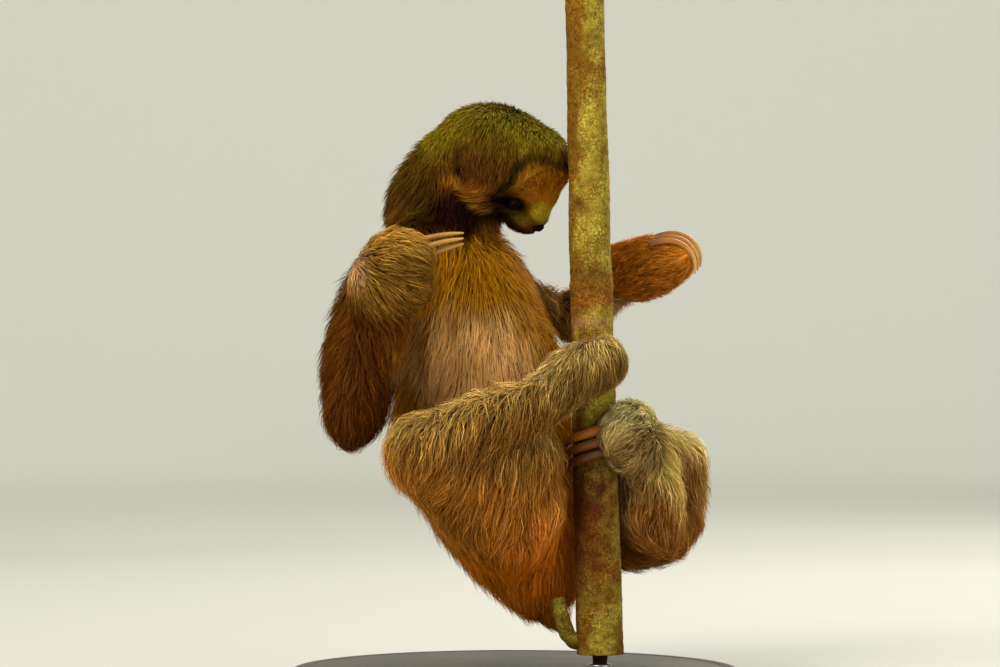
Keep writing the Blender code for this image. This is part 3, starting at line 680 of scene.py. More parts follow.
at_face = face_share(skin_points)
length, width = (skin_net.smooth(by_part(skin_owner, field)[:, None], SIZE_ROUNDS) for field in ("length", "width"))
length = blend(length, HAIR_ON_FACE, at_face)
width = width * (1 - NARROWER_ON_FACE * at_face)


def owned_by(owners, *names):
    """True for each point that belongs to one of those nodes."""
    return np.isin(owners, [FLESH.index(name) for name in names])


def outside(points, centre, reach):
    """0 inside a soft ellipsoid and 1 outside it."""
    return step_between(0.85, 1.15, np.linalg.norm((points - centre) / reach, axis=1))


def along_skin(vectors, normals):
    """Vectors laid flat on the surface: less their part along the normal, made one long."""
    return unit(vectors - normals * (vectors * normals).sum(-1, keepdims=True))


def turned(vectors, normals, angle):
    """Vectors in the surface turned about its normal: v cos a + (n x v) sin a."""
    return vectors * np.cos(angle) + np.cross(normals, vectors) * np.sin(angle)


lie = unit(skin_points - by_part(skin_owner, "source")) + by_part(skin_owner, "pull")
local = mirrored(in_head(skin_points))
thatch = outside(local, (0.056, 0.0, -0.004), (0.028, 0.042, 0.027))  # all of the head but the face,
thatch *= outside(local, (0.020, 0.036, -0.026), (0.030, 0.022, 0.014))  # and but the cheeks
thatch *= owned_by(skin_owner, *HEAD_PARTS)
lie = lie + thatch[:, None] * (unit(skin_points - CROWN) - lie)
lie = skin_net.smooth(along_skin(lie, normals), LIE_ROUNDS)
lie = turned(along_skin(lie, normals), normals, LIE_TURN * waves(skin_points, LIE_WAVE, 3)[:, None])
print("room", room.min().round(4), "to", room.max().round(4), "length", length.min().round(4), length.max().round(4))

# %% Markings
Spot = namedtuple("Spot", "centre reach code strength")
HEAD_SPOTS = [  # on the left side, in the head's axes, and mirrored to the right
    Spot((0.006, 0.047, -0.001), (0.029, 0.018, 0.022), "4e2806", 0.92),  # side of the head
    Spot((0.002, 0.044, 0.022), (0.030, 0.018, 0.014), "5a420a", 0.65),  # above the ear
    Spot((0.052, 0.010, 0.005), (0.018, 0.034, 0.0205), "c87a16", 1.0),  # forehead
    # Top of the muzzle: its pale hair with a painted highlight where it faces the light.
    Spot((0.055, 0.005, -0.0135), (0.0110, 0.0130, 0.0085), "ccb02c", 0.95),  # top of the muzzle
    # Side of the muzzle: painted shade where it turns away from the light.
    Spot((0.043, 0.016, -0.0245), (0.0120, 0.0110, 0.0060), "6e5416", 0.9),  # side of the muzzle
    Spot((0.045, 0.008, -0.0365), (0.0160, 0.0140, 0.0050), "2c1606", 0.9),  # chin
    Spot((0.016, 0.040, -0.0215), (0.0150, 0.0130, 0.0080), "8e4e10", 0.85),  # cheek
    # Dark under the jaw: painted shadow over the dark brown hair of the throat.
    Spot((0.000, 0.036, -0.0420), (0.0260, 0.0200, 0.0060), "220904", 0.95),  # dark under the jaw
    Spot((0.037, 0.025, -0.0165), (0.0140, 0.0145, 0.0076), "050201", 1.0),  # round the eye
    Spot((0.028, 0.035, -0.0190), (0.0125, 0.0120, 0.0060), "080301", 1.0),  # stripe behind the eye
]
Line = namedtuple("Line", "points reach code strength")
HEAD_LINES = [
    # Dark edge of the brow: painted shadow under the overhanging fringe of the crown.
    Line([(0.056, 0.000, 0.0275), (0.0546, 0.014, 0.0260), (0.046, 0.026, 0.0255), (0.038, 0.0315, 0.0245),
          (0.034, 0.0345, 0.019), (0.032, 0.0386, 0.009), (0.0315, 0.039, -0.003), (0.0295, 0.0385, -0.010)],
         0.0044, "1c1405", 0.85),  # dark edge of the brow
    Line([(-0.017, 0.0425, -0.036), (-0.016, 0.0440, -0.026), (-0.010, 0.0455, -0.019), (0.004, 0.0437, -0.0295),
          (0.0165, 0.0352, -0.0340), (0.026, 0.024, -0.0370), (0.034, 0.014, -0.0385)],
         0.0028, "a06014", 0.95),  # bright edge of the jaw, from under the ear
    Line([(0.010, 0.0400, -0.0315), (0.0165, 0.0352, -0.0340), (0.026, 0.024, -0.0370), (0.034, 0.014, -0.0385)],
         0.0034, "c08420", 0.9),  # its paler lower end
    # Ear slit: painted shade in the ear's opening in the fur.
    Line([(-0.0140, 0.0466, 0.0040), (-0.0085, 0.0475, -0.0130)], 0.0034, "040201", 1.0),  # ear slit
]
CHEST_CODE, BELLY_CODE = "966203", "ffca7c"
BODY_SPOTS = [
    Spot((-0.020, -0.010, 0.314), (0.050, 0.050, 0.042), CHEST_CODE, 0.85),  # golden chest
    Spot((-0.034, -0.014, 0.256), (0.054, 0.056, 0.034), BELLY_CODE, 0.97),  # pale belly
    # Dark throat: the throat's brown hair with painted shadow under the jaw.
    Spot((-0.038, -0.002, 0.368), (0.038, 0.048, 0.019), "200804", 1.0),  # dark throat
    Spot((-0.030, 0.100, 0.250), (0.080, 0.050, 0.150), "6e5220", 0.75),  # back
    Spot((-0.060, 0.030, 0.120), (0.045, 0.060, 0.040), "8c500a", 0.7),  # side of the rump
    Spot((0.010, 0.010, 0.090), (0.050, 0.060, 0.060), "e27c16", 0.95),  # under the rump
    Spot((-0.124, -0.084, 0.330), (0.014, 0.016, 0.016), "cc9a6c", 0.9),  # pale wrist of the right hand
    Spot((0.050, -0.050, 0.282), (0.020, 0.018, 0.010), "d0a078", 0.6),  # pale top of the foot
    Spot((-0.085, -0.060, 0.270), (0.012, 0.030, 0.030), "9a5a12", 0.25),  # lit inner side of the forearm
]
FINE_HAIR = {CHEST_CODE: 0.55, BELLY_CODE: 1.0}  # how fine the hair of a spot is
FINE_ON_FACE = 0.7
PALE_BLOTCH = colour("b9a274")
BLOTCHED = 0.6
RUFFLE = 0.22  # how far, in reaches, the streaks of a body spot's edge run in and out
STREAK = (1.0, 1.0, 0.35)  # the waves of a spot's edge are this much slower down the body than across it
MOUTH_DARK = colour("150b06")
GRIZZLED_LIFT, PLAIN_LIFT = 3.6, 2.1  # the most times that a tip is brighter than the coat round it
TIP_HUE = 0.38  # how much of a tip's hue is its own
GRIZZLED = ["hand_right", "thigh_right", "shin_right", "foot_right", "thigh_left", "shin_left", "foot_left"]


def spot_share(points, spot, ruffle=0.0):
    """How much of a soft spot each point has: all in its middle, nothing beyond about one and a half reaches.

    The ruffle is added to the distance at each point, so that a spot's edge runs in streaks."""
    away = np.linalg.norm((points - spot.centre) / spot.reach, axis=1)[:, None] + ruffle
    return step_between(1.45, 0.45, away)


def painted(tint, points, spots, ruffle=0.0):
    """Lays soft spots over a colour, one after the other."""
    for spot in spots:
        tint = blend(tint, colour(spot.code), spot.strength * spot_share(points, spot, ruffle))
    return tint


def markings(points, outline, normals, owners, net):
    """The coat's colour at each point: upper side to lower side of each part, blended, with the spots on top.

    The spots and lines are placed on the coat's outline above the point, the mouth on the skin itself."""
    # Painted light and shade: the upper colour where the surface faces up, the lower where it faces down.
    rising = normals[:, 2:] + 0.25 * waves(points, 0.03, 11)[:, None]
    topside = step_between(-0.35, 0.75, rising)
    tint = net.smooth(blend(by_part(owners, "lower"), by_part(owners, "upper"), topside), TINT_ROUNDS)
    back = step_between(0.03, 0.11, points[:, 1:2]) * step_between(0.25, 0.75, waves(points, 0.075, 5)[:, None])
    tint = blend(tint, PALE_BLOTCH, BLOTCHED * back)
    tint = painted(tint, outline, BODY_SPOTS, RUFFLE * waves(points * STREAK, 0.016, 61)[:, None])
    local = mirrored(in_head(outline))
    on_head = net.smooth(owned_by(owners, *HEAD_PARTS).astype(float), 4)
    marked = painted(tint, local, HEAD_SPOTS)
    for line in HEAD_LINES:
        share = line.strength * step_between(1.6, 0.4, distance_to_line(local, line.points) / line.reach)[:, None]
        marked = blend(marked, colour(line.code), share)
    tint = blend(tint, marked, on_head)
    mouth_gap = distance_to_line(mirrored(in_head(points)), MOUTH_LINE)[:, None]
    mouth = step_between(2.0 * MOUTH_WIDTH, 0.6 * MOUTH_WIDTH, mouth_gap)
    return blend(tint, MOUTH_DARK, mouth)


tint = markings(skin_points, skin_points + normals * room, normals, skin_owner, skin_net)
tip_tint = skin_net.smooth(by_part(skin_owner, "tip"), TINT_ROUNDS)
lift = np.where(owned_by(skin_owner, *GRIZZLED), GRIZZLED_LIFT, PLAIN_LIFT)
brightness = tint.mean(1, keepdims=True)
tip_brightness = tip_tint.mean(1, keepdims=True)
brightest = np.minimum(tip_brightness, 0.003 + skin_net.smooth(lift[:, None], TINT_ROUNDS) * brightness)
hue = blend(tint / brightness, tip_tint / tip_brightness, TIP_HUE)
tip_tint = np.maximum(hue * brightest, tint)
fine = FINE_ON_FACE * at_face  # 1 on the finest hair, 0 on the coarse coat
for spot in BODY_SPOTS:
    if spot.code in FINE_HAIR:
        fine = np.maximum(fine, FINE_HAIR[spot.code] * spot_share(skin_points, spot))
print("mean tint", tint.mean(0).round(3))

# %% [markdown]
# ## An unwrap of the skin
# A texture needs a flat map of the skin. Each part of the body is cut into up to six charts, by the axis that
# its faces look along most, and every chart is laid flat into its own cell of a square. The tufts later take
# the place of their roots on this map.

# %% Charts
CHART_MARGIN = 0.04


def unwrapped(points, triangles, owners):
    """Corner coordinates (faces, 3, 2): each face seen along its main axis, in the cell of its part and axis."""
    normals = face_normals(points, triangles)
    axis = np.abs(normals).argmax(1)
    facing = np.take_along_axis(normals, axis[:, None], 1)[:, 0] > 0
    chart = owners[triangles[:, 0]] * 6 + axis * 2 + facing
    corners = points[triangles]
    flat = np.where(axis[:, None, None] == 0, corners[..., [1, 2]], corners[..., [0, 2]])
    flat = np.where(axis[:, None, None] == 2, corners[..., [0, 1]], flat)
    used, chart = np.unique(chart, return_inverse=True)
    side = math.ceil(math.sqrt(len(used)))
    low = np.full((len(used), 2), np.inf)
    high = -low
    np.minimum.at(low, chart, flat.min(1))
    np.maximum.at(high, chart, flat.max(1))
    within = (flat - low[chart][:, None]) / np.maximum(high - low, 1e-6)[chart][:, None]
    cell = np.stack([chart % side, chart // side], 1)[:, None]
    return (cell + CHART_MARGIN + (1 - 2 * CHART_MARGIN) * within) / side


skin_map = unwrapped(skin_points, skin_triangles, skin_owner)
print("charts fill", np.ptp(skin_map.reshape(-1, 2), axis=0).round(2))

# %% The skin as a piece
# Painted shade: the skin under the coat is darker than the coat's tint, for the shade between the tufts, and less so
# under fine hair.
SKIN_SHADE, SKIN_SHADE_FINE = 0.36, 0.4  # the skin's tint over the coat's: under all hair, and added under fine hair

HIDE = tinted_material("furred_skin", 0.8, 0.03, 900.0, 3.0, 0.35, 0.5)
new_piece("sloth_skin", (skin_points, skin_triangles), HIDE, "coat", *FLESH,
          corners=skin_map, tint=(SKIN_SHADE + SKIN_SHADE_FINE * fine) * tint)
print("skin piece:", len(skin_triangles), "triangles")

# %% [markdown]
# ## Guide hairs
# A groomer combs a few guide hairs and lets the rest follow them. Here every point of the skin has one guide: it
# walks over the surface along the lie of the coat, a fifth of its length at a time, and drops back onto the
# skin after each step, so that it follows bends of the body. A tuft blends the guides of its three neighbours.

# %% Comb the guides
STEPS = 5
skin_tree = BVHTree.FromPolygons(skin_points.tolist(), skin_triangles.tolist())


def face_means(values):
    """The mean of a value over each triangle's corners."""
    return values[skin_triangles].mean(1)


def comb():
    """Walks of all guides over the skin; at each of their stations the room up from it, and the markings there."""
    face_lie, face_up, face_room = face_means(lie), unit(face_means(normals)), face_means(room)
    face_tint, face_tip = face_means(tint), face_means(tip_tint)
    at, way = skin_points, lie
    walks, lifts, tints = [at], [normals * room], [np.hstack([tint, tip_tint])]
    for _ in range(STEPS):
        hits = [skin_tree.find_nearest(place) for place in at + way * length / STEPS]
        faces = np.array([hit[2] for hit in hits])
        at = np.array([hit[0] for hit in hits])
        way = unit(0.5 * way + along_skin(face_lie[faces], face_up[faces]))
        walks.append(at)
        lifts.append(face_up[faces] * face_room[faces])
        tints.append(np.hstack([face_tint[faces], face_tip[faces]]))
    return np.array(walks) - skin_points, np.array(lifts), np.array(tints)


guide_walks, guide_lifts, guide_tints = comb()
print("guides:", guide_walks.shape[1], "with", STEPS, "steps")

# %% [markdown]
# ## Tufts
# One tuft is a thin blade with a raised middle, like a folded leaf: four stations along it, three points at
# each but the tip. It costs ten triangles. Tufts grow denser where they are small. Those near each other share
# a leader and lean together towards its tip, which makes the loose clumps of a real coat. Each is darker at
# the root, with painted shade deep in the coat, and paler at the tip, with its own tone.

# %% Roots
TUFTS = 148000
TUFTS_PER_PIECE = 19900
TUFTS_PER_LEADER = 9
NOSE_PLACE = in_head(middle("nose")[None])[0]
NOSE_BARE = (0.0048, 0.0068, 0.0046)  # half-sizes of the place under the nose pad where no hair grows
CROWDING = 0.8  # how much denser short hair stands

rng = np.random.default_rng(20)
areas = np.linalg.norm(face_normals(skin_points, skin_triangles), axis=1) / 2
crowd = 1 / (width * length ** CROWDING)
bald = distance_to_line(mirrored(in_head(skin_points)), MOUTH_LINE)[:, None] < 0.8 * MOUTH_WIDTH
bald |= (np.linalg.norm((in_head(skin_points) - NOSE_PLACE) / NOSE_BARE, axis=1) < 1)[:, None]
for centre in EYE_CENTRE.values():
    bald |= (np.linalg.norm(skin_points - centre, axis=1) < 0.95 * EYE_RADIUS)[:, None]
crowd = crowd * ~bald
share = np.cumsum(areas * face_means(crowd)[:, 0])
picks = (np.arange(TUFTS) + rng.random(TUFTS)) / TUFTS * share[-1]
root_face = np.searchsorted(share, picks).clip(0, len(share) - 1)
weights = rng.dirichlet((1.0, 1.0, 1.0), TUFTS)
root_corners = skin_triangles[root_face]


def at_roots(values):
    """A value that the skin's points hold, blended at each tuft's root."""
    return (values[root_corners] * weights[..., None]).sum(1)


roots = at_roots(skin_points)
root_width = at_roots(width)
root_face_share = at_roots(at_face)
root_owner = skin_owner[root_corners[:, 0]]
print("roots:", len(roots))

# %% Paths
STATIONS = np.array([0.0, 0.34, 0.68, 1.0])
REACH = rng.uniform(0.60, 1.06, TUFTS)
TOP = rng.uniform(0.78, 1.16, TUFTS)
CLIMB = 0.6
ROOTED = 0.0006


def along_guides(guides, reach):
    """What the guides hold at each tuft's stations, blended between their steps and between neighbours."""
    held = []
    for station in STATIONS:
        step = np.minimum(station * reach * STEPS, STEPS - 1e-6)
        lower = step.astype(int)[:, None]
        part = (step - lower[:, 0])[:, None, None]
        value = blend(guides[lower, root_corners], guides[lower + 1, root_corners], part)
        held.append((value * weights[..., None]).sum(1))
    return np.array(held)


ups = along_guides(guide_lifts, REACH)
climb = (STATIONS[:, None] * np.minimum(REACH, 1.0)) ** CLIMB * TOP
upright = unit(ups)
paths = roots + along_guides(guide_walks, REACH) + ups * climb[..., None]
paths[0] -= upright[0] * ROOTED
station_tints = along_guides(guide_tints, REACH)

# %% Clumps
CLUMP_REACH = 0.012
CLUMP_PULL = (0.20, 0.70)  # the least and the most that a tuft leans over to its leader
PULL_ON_TRUNK = 0.55  # how much of that on the head and the trunk
GATHERING = 1.6  # how late along a tuft it leans over
STRAY = 0.06
KINK_SOFT, KINK_WOOLLY = 0.020, 0.036  # of a tuft's length: head and trunk, then the limbs
leaders = rng.permutation(TUFTS)[: TUFTS // TUFTS_PER_LEADER]
tree = point_finder(roots[leaders])
nearest = np.array([tree.find(root)[1:] for root in roots])
leader = leaders[nearest[:, 0].astype(int)]
alike = (upright[0] * upright[0][leader]).sum(1) > 0.5
on_trunk = owned_by(root_owner, *HEAD_PARTS, "neck", "trunk")
clump_pull = rng.uniform(*CLUMP_PULL, TUFTS)[leader] * np.where(on_trunk, PULL_ON_TRUNK, 1.0) * alike
clump_pull *= nearest[:, 1] < CLUMP_REACH
gather = clump_pull * (STATIONS[:, None] ** GATHERING)
paths = paths + gather[..., None] * (paths[:, leader] - paths)
stray = rng.normal(size=(TUFTS, 3)) * at_roots(length) * STRAY
kink = np.where(on_trunk, KINK_SOFT, KINK_WOOLLY)[:, None]
kinks = (rng.normal(size=(2, TUFTS, 3)) + rng.normal(size=(2, TUFTS, 3))[:, leader]) * at_roots(length) * kink
paths = paths + (STATIONS ** 2)[:, None, None] * stray
paths[1:3] += kinks
print("clumps:", len(leaders))

# %% Keep them off the stem
STEM_FOOT = np.array([0.0663, 0.0, 0.0290])
STEM_TOP = np.array([0.0538, 0.0, 0.5540])
STEM_FOOT_RADIUS = 0.0187
STEM_TOP_RADIUS = 0.0153


def clear_of_stem(points):
    """Pushes points that lie in the stem, or closer than a hair's breadth to it, straight out of it."""
    share = ((points[..., 2] - STEM_FOOT[2]) / (STEM_TOP[2] - STEM_FOOT[2]))[..., None]
    out = points - (STEM_FOOT + share * (STEM_TOP - STEM_FOOT))
    out[..., 2] = 0
    radius = STEM_FOOT_RADIUS + share * (STEM_TOP_RADIUS - STEM_FOOT_RADIUS) + 0.4 * MILLIMETRE
    gap = np.linalg.norm(out, axis=-1, keepdims=True)
    return points + unit(out) * np.maximum(radius - gap, 0)


paths = clear_of_stem(paths)

# %% Blades
TAPER = np.array([0.70, 1.0, 0.72])
RIDGE = 0.55
# Painted shade: each tuft's root and middle are darkened as if shaded by the coat round them, less where the hair is
# fine.
ROOT_SHADE, MIDDLE_SHADE = 0.32, 0.80
PALE_SHARE = 0.34
OWN_SHADE, CLUMP_SHADE = 0.26, 0.20  # how much tufts, and whole clumps, differ in brightness
PATCH = 0.003

BLADE = np.array([[0, 1, 4], [0, 4, 3], [1, 2, 5], [1, 5, 4], [3, 4, 7], [3, 7, 6], [4, 5, 8], [4, 8, 7],
                  [6, 7, 9], [7, 8, 9]])


def blades(paths, upright, width, roll):
    """Ten points for each tuft: left edge, ridge and right edge at three stations, and the tip."""
    ahead = unit(np.gradient(paths, axis=0))
    side = unit(np.cross(ahead, upright))
    over = np.cross(side, ahead)
    edge = side * np.cos(roll) + over * np.sin(roll)
    ridge = over * np.cos(roll) - side * np.sin(roll)
    half = width * TAPER[:, None, None] / 2
    rings = [paths[:3] - edge[:3] * half, paths[:3] + ridge[:3] * half * 2 * RIDGE, paths[:3] + edge[:3] * half]
    rings = np.stack(rings, 1).reshape(9, -1, 3)
    return np.concatenate([rings, paths[3:]]).transpose(1, 0, 2)


def blade_tints(tints, shade, pale, soft):
    """Colours of those ten points: dark at the root, full in the middle, and part of the tip's colour at the end."""
    # The darkened root and middle rows are painted shade deep in the coat.
    root, middle = ROOT_SHADE + 0.6 * soft, MIDDLE_SHADE + 0.2 * soft
    base, tip = tints[..., :3], tints[..., 3:]
    end = blend(base[3], tip[3], pale)
    rows = [base[0] * root, blend(base[1], tip[1], 0.3 * pale) * middle, blend(base[2], tip[2], 0.7 * pale)]
    return np.stack([row for row in rows for _ in range(3)] + [end], 1) * shade[:, None]


def blade_maps(places):
    """Map coordinates of each blade's corners: a small patch at its root's place on the skin's map."""
    across = np.array([-0.5, 0, 0.5] * 3 + [0.0])
    upward = np.repeat(STATIONS, [3, 3, 3, 1]) - 0.5
    patch = np.stack([across, upward], 1) * PATCH
    return (places[:, None] + patch).clip(0.0005, 0.9995)[:, BLADE]


roll = rng.normal(0.0, 0.5, TUFTS)[:, None]
thick = root_width * rng.uniform(0.60, 1.35, (TUFTS, 1))
soft = at_roots(fine)
shade = rng.normal(0.0, OWN_SHADE, (TUFTS, 1)) + rng.normal(0.0, CLUMP_SHADE, (TUFTS, 1))[leader]
shade = np.exp(shade * np.where(on_trunk, 0.75, 1.0)[:, None] * (1 - 0.7 * soft))
grizzle = rng.random((TUFTS, 1)) < PALE_SHARE
pale = np.where(grizzle, rng.uniform(0.6, 1.1, (TUFTS, 1)), rng.uniform(0.0, 0.3, (TUFTS, 1)))
pale = pale + 0.3 * rng.random((TUFTS, 1))[leader] ** 2
pale = pale * (1 - 0.5 * root_face_share)
blade_points = blades(paths, upright, thick, roll)
blade_colours = blade_tints(station_tints, shade, pale * (1 - 0.6 * soft), soft)
root_places = (skin_map[root_face] * weights[..., None]).sum(1)
blade_uv = blade_maps(root_places)

# %% Coat pieces
COAT_GROUPS = {
    "head": HEAD_PARTS,
    "neck_and_trunk": ["neck", "trunk", "tail"],
    "arm_right": ["upper_arm_right", "forearm_right", "hand_right"],
    "arm_left": ["upper_arm_left", "forearm_left", "hand_left"],
    "leg_right": ["thigh_right", "shin_right", "foot_right"],
    "leg_left": ["thigh_left", "shin_left", "foot_left"],
}
HAIR = tinted_material("sloth_hair", 0.58, 0.02, 500.0, 3.0, 0.2, 0.2)


def coat_piece(name, tufts):
    """Joins the blades of some tufts into one piece of the coat."""
    faces = (BLADE + 10 * np.arange(len(tufts))[:, None, None]).reshape(-1, 3)
    points, tint = (held[tufts].reshape(-1, 3) for held in (blade_points, blade_colours))
    new_piece(name, (points, faces), HAIR, "coat", corners=blade_uv[tufts], tint=tint)
    print(name, len(tufts), "tufts")


for group, parts in COAT_GROUPS.items():
    own = np.flatnonzero(owned_by(root_owner, *parts))
    own = own[np.argsort(roots[own, 2])]
    pieces = math.ceil(len(own) / TUFTS_PER_PIECE)
    for number, tufts in enumerate(np.array_split(own, pieces)):
        coat_piece(f"coat_{group}_{number + 1}" if pieces > 1 else f"coat_{group}", tufts)

# %% [markdown]
# ## Closed shapes from a grid
# Eyes, nose, stem and stand are all the same kind of shape: rings of points along a path, closed at both ends.
# One helper turns rows of points into such a closed piece, and turns it the right way out by its volume.


# %% Closed pieces
def closed_rings(rings):
    """Points and triangles of a surface through rings (rows, columns, 3), with a middle point at each end."""
    rows, columns = rings.shape[:2]
    quads = grid_faces(rows, columns, True)
    triangles = np.vstack([quads[:, [0, 1, 2]], quads[:, [0, 2, 3]]])
    around = np.arange(columns)
    beside = (around + 1) % columns
    first, last = rows * columns, rows * columns + 1
    start_fan = np.stack([np.full(columns, first), beside, around], 1)
    end = (rows - 1) * columns
    end_fan = np.stack([np.full(columns, last), end + around, end + beside], 1)
    points = np.vstack([rings.reshape(-1, 3), rings[0].mean(0), rings[-1].mean(0)])
    triangles = np.vstack([triangles, start_fan, end_fan])
    a, b, c = (points[triangles[:, i]] - points.mean(0) for i in range(3))
    volume = (a * np.cross(b, c)).sum()
    return points, triangles if volume > 0 else triangles[:, ::-1]


def directions(polar, turn):
    """Ways that lean from the first axis by an angle and turn about it: (cos a, sin a cos t, sin a sin t)."""
    return np.stack(np.broadcast_arrays(np.cos(polar), np.sin(polar) * np.cos(turn), np.sin(polar) * np.sin(turn)), -1)


def globe(centre, axes, radii, rows, columns):
    """Rings of an ellipsoid from its front pole to its back one: each way from the middle times the radii."""
    polar = np.linspace(0, math.pi, rows + 2)[1:-1, None]
    turn = np.linspace(0, 2 * math.pi, columns, endpoint=False)[None]
    return directions(polar, turn) * radii @ np.asarray(axes) + centre


def lathe(profile, columns, centre=(0.0, 0.0, 0.0)):
    """Rings of a turned shape: each (radius, height) of the profile carried once round the upright axis."""
    turn = np.linspace(0, 2 * math.pi, columns, endpoint=False)
    around = np.stack([np.cos(turn), np.sin(turn), np.zeros(columns)], 1)
    profile = np.asarray(profile)
    return profile[:, 0, None, None] * around + profile[:, 1, None, None] * (0, 0, 1) + centre


# %% [markdown]
# ## Eyes, lids and nose
# A sloth's eye is a small dark bead in a black stripe. The ball has a wide pupil in a brown ring that only a
# close look shows, under a wet gloss. The lids are one ring of bare black skin round an almond opening:
# it starts just off the ball, rolls over a thick rim and dives under the skin of the face. The nose is a
# leathery pad with two nostrils.

# %% Eyeballs
PUPIL = math.radians(24)
IRIS = math.radians(38)

WET = tinted_material("wet_eye", 0.10, 0.08, 1400.0, 2.0, 0.3, 0.0)


def gaze_axes(side):
    """The way an eye looks, level left of that and up, as rows in the model's frame."""
    look = GAZE * (1, 1 if side == "left" else -1, 1) @ HEAD_AXES
    level = unit(np.cross(HEAD_UP, look))
    return np.stack([look, level, np.cross(look, level)])


for side, centre in EYE_CENTRE.items():
    rings = globe(centre, gaze_axes(side), np.full(3, EYE_RADIUS), 40, 56)
    points, triangles = closed_rings(rings)
    off = np.arccos(np.clip((points - centre) @ gaze_axes(side)[0] / EYE_RADIUS, -1, 1))[:, None]
    ball_tint = blend(colour("040302"), colour("2a1408"), step_between(PUPIL, 1.12 * PUPIL, off))
    ball_tint = blend(ball_tint, colour("0d0806"), step_between(IRIS, 1.1 * IRIS, off))
    new_piece(f"eyeball_{side}", (points, triangles), WET, "eye", f"eye_{side}", tint=ball_tint)

# %% Lids
OPENING = (math.radians(46), math.radians(17))  # half its width and half its height, seen from the eye's middle
LID_END = math.radians(112)
LID_TILT = math.radians(12)

LEATHER, leather_tree, leather_shader = new_material("bare_leather", 0.75, 0.08)
leather_tint = ramp(leather_tree, noise(leather_tree, 420.0), [(0.35, "060403"), (0.7, "120a07")])
dress(leather_tree, leather_shader, leather_tint, cells(leather_tree, 1500.0), 0.5, 0.0004)


def lid_ring(side):
    """Rings from the inner edge over the rim to the outer edge; each point lies at a radius along its direction."""
    turn = np.linspace(0, 2 * math.pi, 64, endpoint=False)[None]
    wide, tall = OPENING
    edge = 1 / np.sqrt((np.cos(turn) / wide) ** 2 + (np.sin(turn) / tall) ** 2)
    share = np.linspace(0, 1, 16)[:, None]
    polar = edge + (LID_END - edge) * np.maximum(share - 0.12, 0) / 0.88
    rim = np.array([0.99, 1.02, 1.06, 1.08, 1.09, 1.09, 1.09, 1.08, 1.07, 1.06, 1.04, 1.02, 1.00, 0.97, 0.93, 0.88])
    crease = 0.02 * np.sin(polar * 14) * (share > 0.3) * (share < 0.9)
    radius = EYE_RADIUS * (rim[:, None] + crease)
    lean = turn + LID_TILT * (1 if side == "left" else -1)
    return radius[..., None] * directions(polar, lean) @ gaze_axes(side) + EYE_CENTRE[side]


for side in EYE_CENTRE:
    rings = lid_ring(side)
    faces = grid_faces(*rings.shape[:2], True)
    points = rings.reshape(-1, 3)
    first, second, third = points[faces[0, :3]]
    facing = (second - first) @ np.cross(third - first, first - EYE_CENTRE[side])
    faces = faces if facing < 0 else faces[:, ::-1]
    new_piece(f"eyelids_{side}", (points, faces), LEATHER, "bare_skin")

# %% Nose pad
NOSE_RADII = np.array((0.0040, 0.0066, 0.0040))
NOSTRIL = np.array((0.75, 0.50, -0.30))  # towards the left one, from the middle of the pad

nose_centre = middle("nose") - 0.0008 * HEAD_FORWARD
rings = globe(nose_centre, HEAD_AXES, NOSE_RADII, 48, 72)
points, triangles = closed_rings(rings)
way = unit(in_head(points) - in_head(nose_centre[None]))
opening = np.linalg.norm((mirrored(way) - unit(NOSTRIL)) * (1, 1, 1.5), axis=1)[:, None]
middle_line = np.abs(way[:, 1:2])
dent = 0.42 * bell(opening, 0.26) + 0.07 * bell(middle_line, 0.10) * (way[:, :1] > 0)
points = nose_centre + (points - nose_centre) * (1 - dent)
new_piece("nose_pad", (points, triangles), LEATHER, "bare_skin", "nose")
print("eyes, lids and nose made")

# %% [markdown]
# ## Claws
# The claws keep the solids' curves and places. Each is a copy with its doubles merged and its facets rounded by
# subdivision. Horn is darker at the root and paler at the tip, with a fine bumpy grain, so every point knows how
# far along its claw it is.

# %% Horn
HORN = tinted_material("claw_horn", 0.38, 0.45, 650.0, 4.0, 0.4, 0.25, 0.0004)
CLAW_COLOURS = {  # root, middle, tip
    "hand_right": ("6e4812", "a4702c", "c49448"),
    "hand_left": ("8a5220", "b87830", "d0a058"),
    "foot_right": ("4a2a10", "9a6a34", "b98d56"),
    "foot_left": ("7a4008", "a86414", "7c4414"),
}
CLAW_PAINTED_SHADE = {"foot_left": (1.0, 0.55, 0.30)}  # painted shade: the lower claws of that foot lie in the shadow under it
CLAW_ROUNDING = 2


def rounded_copy(node, levels):
    """A copy of a node's mesh with its doubles merged, smoothed by subdivision, as points and faces."""
    bm = bmesh.new()
    bm.from_mesh(NODES[node].data)
    bmesh.ops.remove_doubles(bm, verts=bm.verts, dist=1e-6)
    mesh = bpy.data.meshes.new(node)
    bm.to_mesh(mesh)
    bm.free()
    body = add_object(node, mesh)
    modifier = body.modifiers.new("round", "SUBSURF")
    modifier.levels = modifier.render_levels = levels
    made = bpy.data.meshes.new_from_object(body.evaluated_get(bpy.context.evaluated_depsgraph_get()))
    bpy.data.objects.remove(body)
    made.polygons.foreach_set("use_smooth", np.ones(len(made.polygons), bool))
    return made


